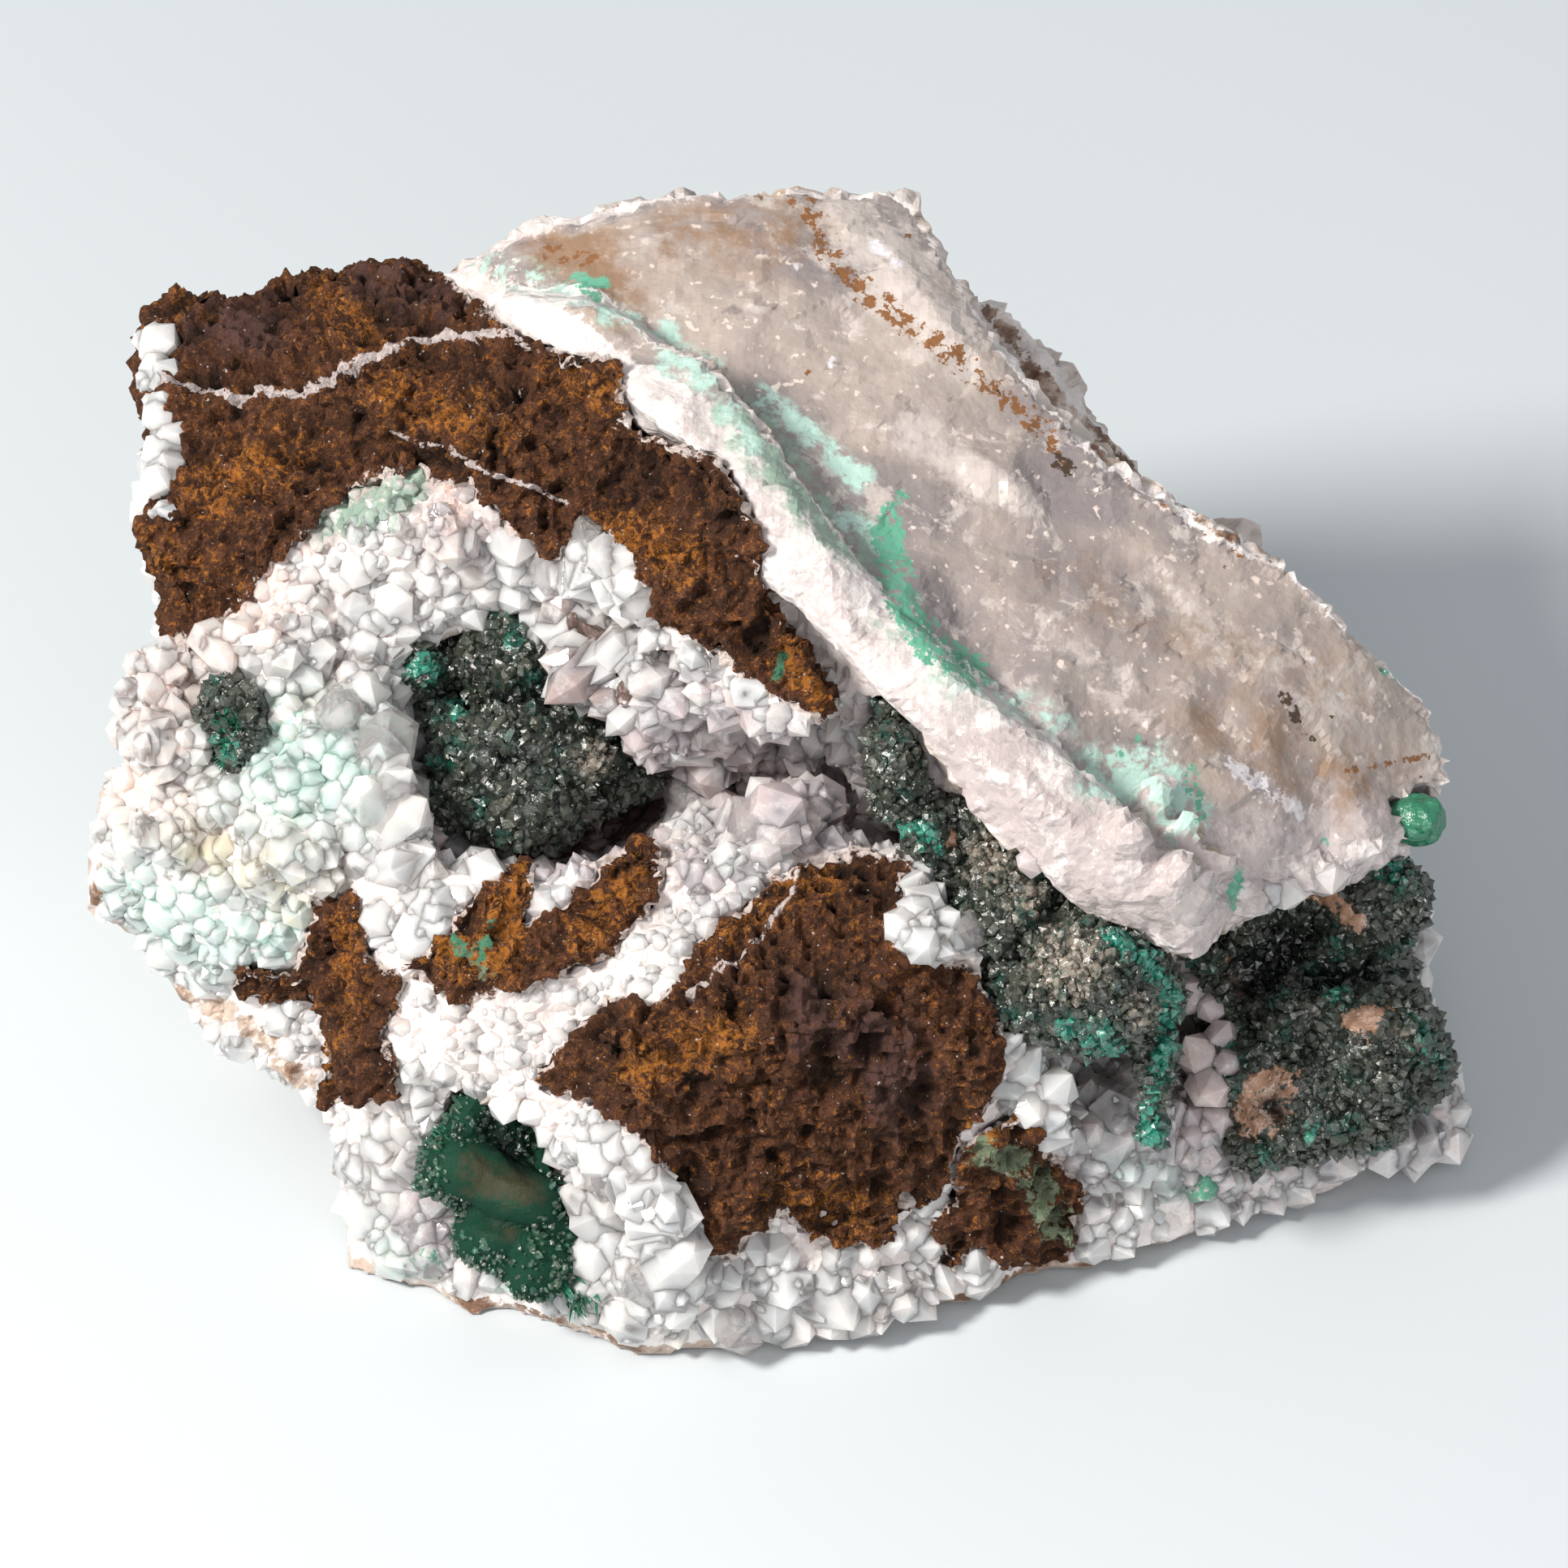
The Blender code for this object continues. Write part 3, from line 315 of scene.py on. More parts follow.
def inside_depth(across, up, outline):
    """How far inside the outline each shown place lies, negative outside it."""
    inside = np.zeros(len(across), bool)
    for (ax, ay), (bx, by) in zip(outline, outline[1:] + outline[:1]):
        crosses = (ay > up) != (by > up)
        if by != ay:
            inside ^= crosses & (across < (bx - ax) * (up - ay) / (by - ay) + ax)
    return np.where(inside, 1, -1) * line_distance(across, up, outline + outline[:1])


def cloud(points, size, seed):
    """Smooth noise from -1 to 1 with features of this size in millimetres."""
    grid = points / (size * MM)
    table = np.random.RandomState(seed).rand(LATTICE, LATTICE, LATTICE) * 2 - 1
    whole = np.floor(grid).astype(int)
    part = grid - whole
    part = part * part * (3 - 2 * part)
    total = np.zeros(len(points))
    for corner in np.ndindex(2, 2, 2):
        at = (whole + corner) % LATTICE
        weight = np.prod(np.where(corner, part, 1 - part), axis=1)
        total += weight * table[at[:, 0], at[:, 1], at[:, 2]]
    return total


def fractal(points, size, octaves, seed):
    """Noise on noise, each half the size and half the height of the one before."""
    return sum(cloud(points, size / 2**k, seed + k) / 2**k for k in range(octaves))


def cells_around(points, size, seed, numbers):
    """For each of the 27 cells round every point: the way from the cell's place, and its other numbers."""
    grid = points / (size * MM)
    table = np.random.RandomState(seed).rand(LATTICE, LATTICE, LATTICE, numbers)
    whole = np.floor(grid).astype(int)
    for step in np.ndindex(3, 3, 3):
        cell = whole + step - 1
        found = table[cell[:, 0] % LATTICE, cell[:, 1] % LATTICE, cell[:, 2] % LATTICE]
        yield grid - cell - found[:, :3], found[:, 3:]


def facets(points, size, seed):
    """Height from -1 to 1 of a surface broken into flat facets of this size, as sugary quartz breaks."""
    nearest = np.full(len(points), np.inf)
    height = np.zeros(len(points))
    for away, dice in cells_around(points, size, seed, 6):
        distance = (away**2).sum(1)
        tilt = dice * 2 - 1
        height = np.where(distance < nearest, (away * tilt).sum(1) + tilt[:, 0] * 0.5, height)
        nearest = np.minimum(nearest, distance)
    return height


def balls(points, size, seed):
    """Height from 0 to 1 of a surface covered with round lumps of this size."""
    nearest = np.full(len(points), np.inf)
    for away, _ in cells_around(points, size, seed, 3):
        nearest = np.minimum(nearest, (away**2).sum(1))
    return np.sqrt(np.clip(1 - nearest, 0, 1))


def deselect():
    bpy.ops.object.select_all(action="DESELECT")


def chosen(obj):
    deselect()
    obj.select_set(True)
    bpy.context.view_layer.objects.active = obj


def rest_copy(node, name):
    """A welded copy of a CAD node's mesh in an object of its own."""
    obj = bpy.data.objects.new(name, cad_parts[node].data.copy())
    bpy.context.scene.collection.objects.link(obj)
    obj.data.materials.clear()
    chosen(obj)
    bpy.ops.object.mode_set(mode="EDIT")
    bpy.ops.mesh.select_all(action="SELECT")
    bpy.ops.mesh.remove_doubles(threshold=WELDED_WITHIN)
    bpy.ops.object.mode_set(mode="OBJECT")
    return obj


def with_modifier(obj, kind, **settings):
    """Adds a modifier, sets it and applies it."""
    chosen(obj)
    modifier = obj.modifiers.new(kind.lower(), kind)
    for key, value in settings.items():
        setattr(modifier, key, value)
    bpy.ops.object.modifier_apply(modifier=modifier.name)


def places(obj):
    co = np.empty(len(obj.data.vertices) * 3, np.float32)
    obj.data.vertices.foreach_get("co", co)
    return co.reshape(-1, 3).astype(float)


def slopes(obj):
    normals = np.empty(len(obj.data.vertices) * 3, np.float32)
    obj.data.vertex_normals.foreach_get("vector", normals)
    return normals.reshape(-1, 3).astype(float)


def put(obj, points):
    obj.data.vertices.foreach_set("co", points.astype(np.float32).ravel())
    obj.data.update()


def write(obj, name, values):
    attribute = obj.data.attributes.new(name, "FLOAT", "POINT")
    attribute.data.foreach_set("value", np.asarray(values, np.float32))


def marked(points, normals, name):
    """How strongly a marking covers each point, on the faces that the layout view sees."""
    across, up = layout(points)
    total = np.zeros(len(points))
    for reach, strength, line in MARKS[name]:
        total = np.maximum(total, strength * np.clip(1 - line_distance(across, up, line) / reach, 0, 1))
    return total * ease(facing(normals), 0.0, 0.3)


def write_marks(obj, points, normals, *names):
    for name in names:
        write(obj, name, marked(points, normals, name))


# Materials


class Finish:
    """A material and the nodes that make its colour, roughness and relief."""

    def __init__(self, name, **constants):
        self.material = bpy.data.materials.new(name)
        self.material.use_nodes = True
        self.tree = self.material.node_tree
        self.shader = self.tree.nodes["Principled BSDF"]
        for socket, value in constants.items():
            self.shader.inputs[socket.replace("_", " ")].default_value = value
        self.where = self.tree.nodes.new("ShaderNodeTexCoord").outputs["Object"]

    def node(self, kind, **settings):
        node = self.tree.nodes.new(kind)
        for key, value in settings.items():
            setattr(node, key, value)
        return node

    def link(self, source, target):
        if isinstance(source, bpy.types.NodeSocket):
            self.tree.links.new(source, target)
        else:
            target.default_value = source

    def noise(self, size, detail=4.0, roughness=0.6, distortion=0.0):
        """Noise with features of this size in millimetres."""
        node = self.node("ShaderNodeTexNoise")
        node.inputs["Scale"].default_value = 1 / (size * MM)
        node.inputs["Detail"].default_value = detail
        node.inputs["Roughness"].default_value = roughness
        node.inputs["Distortion"].default_value = distortion
        self.link(self.where, node.inputs["Vector"])
        return node.outputs["Fac"]

    def attribute(self, name):
        return self.node("ShaderNodeAttribute", attribute_name=name).outputs["Fac"]

    def math(self, operation, *values):
        node = self.node("ShaderNodeMath", operation=operation)
        for socket, value in zip(node.inputs, values):
            self.link(value, socket)
        return node.outputs[0]

    def step(self, source, low, high):
        node = self.node("ShaderNodeMapRange", interpolation_type="SMOOTHSTEP")
        self.link(source, node.inputs["Value"])
        node.inputs["From Min"].default_value = low
        node.inputs["From Max"].default_value = high
        return node.outputs["Result"]

    def mix(self, factor, first, second):
        node = self.node("ShaderNodeMix", data_type="RGBA")
        self.link(factor, node.inputs[0])
        self.link(first if not isinstance(first, tuple) else (*first, 1), node.inputs[6])
        self.link(second if not isinstance(second, tuple) else (*second, 1), node.inputs[7])
        return node.outputs[2]

    def ragged(self, name, size, low=0.4, high=0.6):
        """A painted marking, broken up by noise of this size where it is weak."""
        rough = self.math("MULTIPLY_ADD", self.step(self.noise(size, 5, 0.7), 0.33, 0.67), 1.3, 0.35)
        return self.step(self.math("MULTIPLY", self.attribute(name), rough), low, high)

    def relief(self, *layers):
        """Bump from (height, depth in millimetres) layers."""
        normal = None
        for height, depth in layers:
            bump = self.node("ShaderNodeBump")
            bump.inputs["Distance"].default_value = depth * MM
            self.link(height, bump.inputs["Height"])
            if normal is not None:
                self.link(normal, bump.inputs["Normal"])
            normal = bump.outputs["Normal"]
        self.link(normal, self.shader.inputs["Normal"])

    def broken(self, size):
        """Height of a surface broken into small flat facets of this size."""
        node = self.node("ShaderNodeTexVoronoi")
        node.inputs["Scale"].default_value = 1 / (size * MM)
        self.link(self.where, node.inputs["Vector"])
        away = self.node("ShaderNodeVectorMath", operation="SUBTRACT")
        self.link(self.where, away.inputs[0])
        self.link(node.outputs["Position"], away.inputs[1])
        tilt = self.node("ShaderNodeVectorMath", operation="SUBTRACT")
        self.link(node.outputs["Color"], tilt.inputs[0])
        tilt.inputs[1].default_value = (0.5, 0.5, 0.5)
        dot = self.node("ShaderNodeVectorMath", operation="DOT_PRODUCT")
        self.link(away.outputs[0], dot.inputs[0])
        self.link(tilt.outputs[0], dot.inputs[1])
        return self.math("MULTIPLY", dot.outputs["Value"], 2 / (size * MM))

    def colour(self, source):
        self.link(source, self.shader.inputs["Base Color"])

    def roughness(self, source):
        self.link(source, self.shader.inputs["Roughness"])


# Colours of the quartz: its druse, the skin along its foot, its broken back and the clouds in the slab
WHITE = (0.74, 0.70, 0.685)
SHADE = (0.56, 0.50, 0.49)
CREAM = (0.66, 0.585, 0.56)
SKIN_BROWN = (0.33, 0.22, 0.155)
SKIN_PALE = (0.62, 0.54, 0.48)
SKIN_IRON = (0.15, 0.075, 0.04)
BACK_PALE = (0.56, 0.50, 0.47)
BACK_BROWN = (0.36, 0.275, 0.215)
BACK_IRON = (0.17, 0.085, 0.045)
SLAB_GREY = (0.235, 0.205, 0.205)
SLAB_WARM = (0.38, 0.322, 0.288)
SLAB_MILKY = (0.46, 0.41, 0.385)
SLAB_FLECK = (0.62, 0.53, 0.48)
SLAB_DEEP = (0.20, 0.172, 0.17)
GREEN = (0.11, 0.35, 0.24)

# Markings of the rock: name, colour, size of its breaks, strengths where it starts and is full
ROCK_MARKS = (
    # mauve: the quartz's own tint, partly painted shade
    ("mauve", (0.43, 0.375, 0.37), 2.5, 0.05, 0.8),
    ("milk", (0.50, 0.445, 0.415), 2.4, 0.2, 0.9),
    ("frost", (0.60, 0.58, 0.61), 1.2, 0.45, 0.7),
    ("tan", (0.26, 0.165, 0.105), 3.0, 0.1, 0.85),
    ("pink", (0.72, 0.52, 0.47), 1.6, 0.35, 0.9),
    ("verdigris", (0.25, 0.34, 0.28), 2.2, 0.25, 0.9),
    ("aqua", (0.40, 0.57, 0.51), 1.5, 0.3, 0.9),
    ("green", GREEN, 0.8, 0.45, 0.65),
    ("rust", (0.20, 0.085, 0.028), 0.9, 0.62, 0.72),
    ("umber", (0.055, 0.032, 0.018), 0.6, 0.5, 0.6),
    # painted shade in the recesses of the big hollow
    ("painted_shade", (0.10, 0.065, 0.055), 2.0, 0.1, 0.6),
)

# Colours and markings of the quartz points
POINT_WHITE = (0.97, 0.925, 0.895)
POINT_GREY = (0.80, 0.745, 0.715)
POINT_CLOUD = (0.80, 0.715, 0.675)
POINT_MARKS = (
    # mauve: the points' own tint, partly painted shade
    ("mauve", (0.58, 0.49, 0.50), 2.5, 0.05, 0.8),
    ("tan", (0.84, 0.70, 0.50), 3.0, 0.05, 0.9),
    ("pink", (0.92, 0.72, 0.65), 1.6, 0.05, 0.9),
    ("verdigris", (0.36, 0.46, 0.38), 1.8, 0.2, 0.8),
    ("aqua", (0.68, 0.91, 0.80), 1.6, 0.05, 0.9),
    ("green", GREEN, 1.0, 0.45, 0.65),
    # painted shade on the points in the hollow's recesses, partly a brown stain
    ("painted_shade", (0.40, 0.32, 0.31), 2.0, 0.15, 1.0),
)

CLEAR_PALE = (0.93, 0.91, 0.91)
CLEAR_SMOKY = (0.80, 0.74, 0.75)

# Colours and markings of the limonite
LIMONITE_DARK = (0.038, 0.0135, 0.006)
LIMONITE_BROWN = (0.122, 0.045, 0.019)
LIMONITE_PALE = (0.20, 0.084, 0.037)
LIMONITE_PIT = (0.022, 0.008, 0.004)
# Painted shade in the limonite's pits and creases
LIMONITE_CREASE_SHADE = (0.010, 0.004, 0.002)
OCHRE = (0.40, 0.145, 0.021)
QUARTZ_SPECK = (0.55, 0.47, 0.42)
QUARTZ_RIM = (0.72, 0.62, 0.58)
LIMONITE_MARKS = (
    ("bruise", (0.092, 0.044, 0.035), 2.2, 0.2, 0.8),
    ("sage", (0.22, 0.27, 0.17), 1.0, 0.4, 0.6),
    ("green", (0.08, 0.25, 0.15), 1.0, 0.4, 0.6),
)
VEIN = (("vein", (0.62, 0.54, 0.53), 0.9, 0.35, 0.5),)

# Colours and markings of the malachite
MALACHITE_DARK = (0.007, 0.011, 0.008)
MALACHITE_GREY = (0.026, 0.038, 0.028)
MALACHITE_PALE = (0.070, 0.072, 0.054)
MALACHITE_BLUE = (0.010, 0.060, 0.046)
MALACHITE_PLUSH = (0.006, 0.036, 0.021)
MALACHITE_BRIGHT = (0.010, 0.145, 0.075)
# Painted shade in the malachite's creases and recesses
MALACHITE_CREASE_SHADE = (0.003, 0.006, 0.005)
MALACHITE_MARKS = (
    # brownish dust, partly painted glints
    ("dust_and_glints", (0.22, 0.19, 0.155), 0.7, 0.3, 0.8),
    ("teal", (0.018, 0.19, 0.135), 0.6, 0.35, 0.75),
    ("flat", (0.36, 0.20, 0.125), 1.2, 0.42, 0.5),
)
PLUSH_MARKS = (("brown", (0.036, 0.038, 0.022), 1.5, 0.2, 1.0),)


def stained(finish, base, marks):
    """Lays markings over a colour, each broken up by noise."""
    for name, colour, size, low, high in marks:
        base = finish.mix(finish.ragged(name, size, low, high), base, colour)
    return base


def rock_finish():
    """Sugary white quartz with its skin and its stained back, and the cloudy chalcedony of the slab."""
    finish = Finish("quartz_matrix", IOR=1.54, Subsurface_Weight=0.3, Subsurface_Scale=0.0015)
    finish.shader.inputs["Subsurface Radius"].default_value = (1.0, 0.8, 0.7)
    sugar = finish.mix(finish.step(finish.noise(7, 5), 0.35, 0.7), WHITE, SHADE)
    sugar = finish.mix(finish.step(finish.noise(1.6, 4), 0.55, 0.75), sugar, CREAM)
    skin = finish.mix(finish.noise(2.5, 6, 0.7), SKIN_BROWN, SKIN_PALE)
    skin = finish.mix(finish.step(finish.noise(4, 6, 0.7), 0.45, 0.6), skin, SKIN_IRON)
    sugar = finish.mix(finish.ragged("skin", 2.0), sugar, skin)
    stain = finish.mix(finish.step(finish.noise(9, 6, 0.6), 0.42, 0.62), BACK_PALE, BACK_BROWN)
    stain = finish.mix(finish.step(finish.noise(5, 7, 0.7), 0.60, 0.70), stain, BACK_IRON)
    sugar = finish.mix(finish.attribute("behind"), sugar, stain)

    cloudy = finish.mix(finish.step(finish.noise(11, 4, 0.55, 0.4), 0.38, 0.62), SLAB_GREY, SLAB_WARM)
    cloudy = finish.mix(finish.step(finish.noise(3.6, 6, 0.7, 0.4), 0.54, 0.62), cloudy, SLAB_MILKY)
    cloudy = finish.mix(finish.step(finish.noise(0.9, 3, 0.5), 0.63, 0.68), cloudy, SLAB_FLECK)
    cloudy = finish.mix(finish.step(finish.noise(2.6, 4, 0.6), 0.38, 0.26), cloudy, SLAB_DEEP)
    base = finish.mix(finish.ragged("slab", 1.4, 0.15, 0.3), sugar, cloudy)

    finish.colour(stained(finish, base, ROCK_MARKS))
    finish.roughness(finish.math("MULTIPLY_ADD", finish.noise(1.2, 3), 0.4, 0.16))
    open_face = finish.math("MULTIPLY_ADD", finish.attribute("slab"), -0.8, 1.0)
    finish.relief(
        (finish.math("MULTIPLY", finish.broken(0.9), open_face), 0.16),
        (finish.math("MULTIPLY", finish.noise(0.5, 3), open_face), 0.12),
        (finish.noise(2.2, 3), 0.25),
    )
    return finish.material


def point_finish():
    """Milky quartz points, which let some light through."""
    finish = Finish("quartz_points", IOR=1.54, Transmission_Weight=0.25, Subsurface_Weight=0.75,
                    Subsurface_Scale=0.003)
    finish.shader.inputs["Subsurface Radius"].default_value = (1.0, 0.85, 0.75)
    base = finish.mix(finish.attribute("tone"), POINT_WHITE, POINT_GREY)
    base = finish.mix(finish.step(finish.noise(5.0, 4), 0.54, 0.68), base, POINT_CLOUD)
    finish.colour(stained(finish, base, POINT_MARKS))
    finish.roughness(finish.math("MULTIPLY_ADD", finish.noise(0.6, 3), 0.25, 0.03))
    finish.relief((finish.noise(0.35, 2), 0.03))
    return finish.material


def clear_finish():
    """Clear quartz points."""
    finish = Finish("clear_quartz", Roughness=0.05, IOR=1.54, Transmission_Weight=0.85)
    finish.colour(finish.mix(finish.step(finish.noise(2.0, 4), 0.45, 0.7), CLEAR_PALE, CLEAR_SMOKY))
    finish.relief((finish.noise(0.5, 2), 0.02))
    return finish.material


def limonite_finish():
    """Crumbly brown limonite with ochre specks, its rim dusted with quartz."""
    finish = Finish("limonite", Roughness=0.85, IOR=1.5, Specular_IOR_Level=0.25)
    base = finish.mix(finish.step(finish.noise(1.4, 6, 0.75), 0.35, 0.65), LIMONITE_DARK, LIMONITE_BROWN)
    base = finish.mix(finish.step(finish.noise(0.5, 4, 0.7), 0.55, 0.66), base, LIMONITE_PALE)
    base = finish.mix(finish.step(finish.noise(0.55, 5, 0.8, 0.5), 0.44, 0.38), base, LIMONITE_PIT)
    ochre = finish.math("MULTIPLY_ADD", finish.attribute("ochre"), 0.12, finish.noise(0.7, 8, 0.85, 0.9))
    base = finish.mix(finish.step(ochre, 0.56, 0.60), base, OCHRE)
    base = stained(finish, base, LIMONITE_MARKS)
    # Painted shade: darker where the surface sinks
    base = finish.mix(finish.math("MULTIPLY", finish.attribute("depth"), 0.85), base, LIMONITE_CREASE_SHADE)
    base = finish.mix(finish.step(finish.noise(0.45, 2, 0.5), 0.71, 0.75), base, QUARTZ_SPECK)
    rim = finish.math("MULTIPLY_ADD", finish.noise(1.1, 6, 0.75), 1.6, finish.attribute("rim"))
    base = finish.mix(finish.step(rim, 1.38, 1.52), base, QUARTZ_RIM)
    finish.colour(stained(finish, base, VEIN))
    finish.relief((finish.noise(0.7, 6, 0.75), 0.5), (finish.noise(0.25, 3, 0.7), 0.25))
    return finish.material


def malachite_finish(name, gloss):
    """Malachite; gloss is the level of its reflections."""
    finish = Finish(name, IOR=1.6, Specular_IOR_Level=gloss)
    base = finish.mix(finish.step(finish.noise(1.5, 5, 0.7), 0.35, 0.65), MALACHITE_DARK, MALACHITE_GREY)
    base = finish.mix(finish.math("MULTIPLY", finish.attribute("tone"), 0.6), base, MALACHITE_PALE)
    base = finish.mix(finish.step(finish.noise(2.6, 4), 0.53, 0.68), base, MALACHITE_BLUE)
    base = stained(finish, base, MALACHITE_MARKS)
    base = finish.mix(finish.attribute("plush"), base, MALACHITE_PLUSH)
    base = stained(finish, base, PLUSH_MARKS)
    base = finish.mix(finish.attribute("bright"), base, MALACHITE_BRIGHT)
    # Painted shade in the creases and recesses
    base = finish.mix(finish.attribute("depth"), base, MALACHITE_CREASE_SHADE)
    finish.colour(base)
    soft = finish.math("MULTIPLY", finish.attribute("plush"), 0.4)
    finish.roughness(finish.math("ADD", finish.math("MULTIPLY_ADD", finish.noise(0.5, 2), 0.45, 0.08), soft))
    crisp = finish.math("SUBTRACT", 1.0, finish.attribute("plush"))
    finish.relief((finish.math("MULTIPLY", finish.broken(0.5), crisp), 0.15), (finish.noise(0.3, 3), 0.08))
    return finish.material


# Pieces


def dressed(obj, finish, node=None):
    """Gives a finished piece its material and body, and hides the CAD node that it stands for."""
    obj.data.materials.clear()
    obj.data.materials.append(finish)
    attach(obj, "root")
    if node:
        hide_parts(node)
    return obj


def pushed(points, normals, height):
    """Points moved along their normals by heights in millimetres, held at the foot and in the box."""
    hold = ease(points[:, 2], HELD_BELOW, FREE_ABOVE)
    moved = points + normals * (height * hold * MM)[:, None]
    low, high = (np.array(corner) for corner in solid_box)
    return np.clip(moved, low, high + SURFACE_OVER)


def hidden(points, normals, tree):
    """Which points of the rock lie behind other parts of it in the layout view."""
    turned_here = facing(normals) > 0
    starts = points + np.array(TOWARD_VIEWER) * SIGHT_GAP
    return np.array([not here or tree.ray_cast(Vector(start), TOWARD_VIEWER)[0] is not None
                     for here, start in zip(turned_here, starts)])


def slab_share(points, normals):
    """1 on the face of the chalcedony slab, 0 on the druse."""
    across, up = layout(points)
    return ease(inside_depth(across, up, SLAB), 0.2, 2.0) * ease(facing(normals), 0.35, 0.6)


def quartz_matrix(finish):
    """The white quartz rock with its slab; returns the piece, and its normals before the fine relief."""
    rock = rest_copy("quartz_rock", "quartz_matrix")
    with_modifier(rock, "REMESH", mode="VOXEL", voxel_size=ROCK_MESH)
    points, normals = places(rock), slopes(rock)
    seen = ~hidden(points, normals, tree_of("quartz_rock"))
    slab = slab_share(points, normals) * seen
    behind = ease(-facing(normals), -0.1, 0.3)
    sugar = 0.55 * facets(points, 2.4, 3) + 0.3 * facets(points, 1.2, 4)
    broken = 1.3 * facets(points, 7.0, 13) + 0.4 * facets(points, 2.2, 14)
    waxy = 0.45 * fractal(points, 8, 3, 9) + 0.16 * facets(points, 3.2, 5)
    waxy += 0.05 * fractal(points, 1.2, 2, 6)
    crest = ease(line_distance(*layout(points), CREST), 4.0, 2.0) * (1 - behind)
    massive = 0.5 * fractal(points, 5, 2, 15) + 0.2 * facets(points, 2.2, 16)
    height = (sugar * (1 - crest) + massive * crest) * (1 - behind) + broken * behind
    put(rock, pushed(points, normals, height * (1 - slab) + waxy * slab))
    write(rock, "slab", slab)
    foot = 1 - ease(points[:, 2], 0.5 * MM, 1.6 * MM)
    write(rock, "skin", np.maximum(foot, marked(points, normals, "skin")))
    write(rock, "behind", np.maximum(behind, 1 - seen))
    for name, *_ in ROCK_MARKS:
        write(rock, name, marked(points, normals, name) * (slab if name == "tan" else seen))
    return dressed(rock, finish, "quartz_rock"), normals


def hollow_crust(finish):
    """The lining of the big hollow, and its normals before the fine relief."""
    crust = rest_copy("quartz_crust", "hollow_lining")
    with_modifier(crust, "REMESH", mode="VOXEL", voxel_size=HOLLOW_MESH)
    points, normals = places(crust), slopes(crust)
    put(crust, pushed(points, normals, 0.3 * facets(points, 1.8, 7)))
    # The lining takes its marks, with painted shade in the hollow's recesses
    write_marks(crust, places(crust), slopes(crust), "mauve", "pink", "tan", "painted_shade")
    return dressed(crust, finish, "quartz_crust"), normals


def limonite_patch(node, finish, quartz):
    """One patch of crumbly brown limonite, its edge ragged with quartz."""
    patch = rest_copy(node, node + "_crust")
    with_modifier(patch, "DISPLACE", strength=LIMONITE_THICKENED, mid_level=0)
    with_modifier(patch, "REMESH", mode="VOXEL", voxel_size=LIMONITE_MESH)
    points, normals = places(patch), slopes(patch)
    reach = np.array([quartz.find_nearest(Vector(p))[3] for p in points])
    rim = 1 - np.clip(reach / (1.6 * MM), 0, 1)
    crumbs = 0.5 - np.abs(cloud(points, 3.2, 21)) * 1.3 - np.abs(cloud(points, 1.4, 22)) * 0.9
    pits = -1.1 * ease(fractal(points, 1.7, 3, 25), 0.35, 0.9)
    grains = 0.4 * facets(points, 0.9, 23) + 0.45 * cloud(points, 0.6, 24)
    height = (crumbs + pits) * (1 - 0.75 * rim) + grains
    put(patch, pushed(points, normals, height))
    # Painted shade: how deep the pits and creases sink, for darkening them
    write(patch, "depth", ease(-height, -0.2, 1.4))
    write_marks(patch, points, normals, "ochre", "bruise", "sage", "green", "vein")
    write(patch, "rim", rim)
    return dressed(patch, finish, node)


def malachite_mass(node, finish, lumps, plush, bright):
    """One growth of malachite, covered with round lumps; returns it, and its normals before the lumps."""
    mass = rest_copy(node, node + "_growth")
    with_modifier(mass, "DISPLACE", strength=MALACHITE_THICKENED, mid_level=0)
    with_modifier(mass, "REMESH", mode="VOXEL", voxel_size=MALACHITE_MESH)
    points, normals = places(mass), slopes(mass)
    recess = marked(points, normals, "recess")
    height = SWELL_HEIGHT * np.sqrt(marked(points, normals, "swell")) - RECESS_DEPTH * recess
    crease = np.zeros(len(points))
    for k, (size, relief) in enumerate(lumps):
        crease -= relief * (balls(points, size, 31 + k) - 1)
    height -= crease
    put(mass, pushed(points, normals, height))
    # Painted shade: the creases between the lumps and the recesses, for darkening them
    write(mass, "depth", 0.9 * np.maximum(ease(crease, 0.55, 1.5), ease(recess, 0.1, 0.6)))
    write(mass, "plush", np.full(len(points), plush))
    write(mass, "bright", np.full(len(points), bright))
    write_marks(mass, points, normals, "teal", "dust_and_glints", "flat", "brown")
    return dressed(mass, finish, node), normals


def shape(name, sides, tip):
    """A crystal 1 wide and 1 long on the origin, as corners and faces; tip is the pyramid's share."""
    deselect()
    shaft = 1 - tip
    bpy.ops.mesh.primitive_cylinder_add(vertices=sides, radius=0.5, depth=shaft, location=(0, 0, shaft / 2))
    obj = bpy.context.object
    obj.name = name
    bpy.ops.object.mode_set(mode="EDIT")
    bpy.ops.mesh.select_mode(type="FACE")
    bpy.ops.mesh.select_all(action="DESELECT")
    bpy.ops.object.mode_set(mode="OBJECT")
    for face in obj.data.polygons:
        face.select = face.normal.z > 0.9
    bpy.ops.object.mode_set(mode="EDIT")
    bpy.ops.mesh.poke(offset=tip)
    bpy.ops.mesh.select_all(action="SELECT")
    bpy.ops.mesh.quads_convert_to_tris()
    bpy.ops.object.mode_set(mode="OBJECT")
    obj.data.transform(obj.matrix_world)
    corners = places(obj)
    faces = np.array([face.vertices[:] for face in obj.data.polygons])
    bpy.data.objects.remove(obj)
    return corners, faces


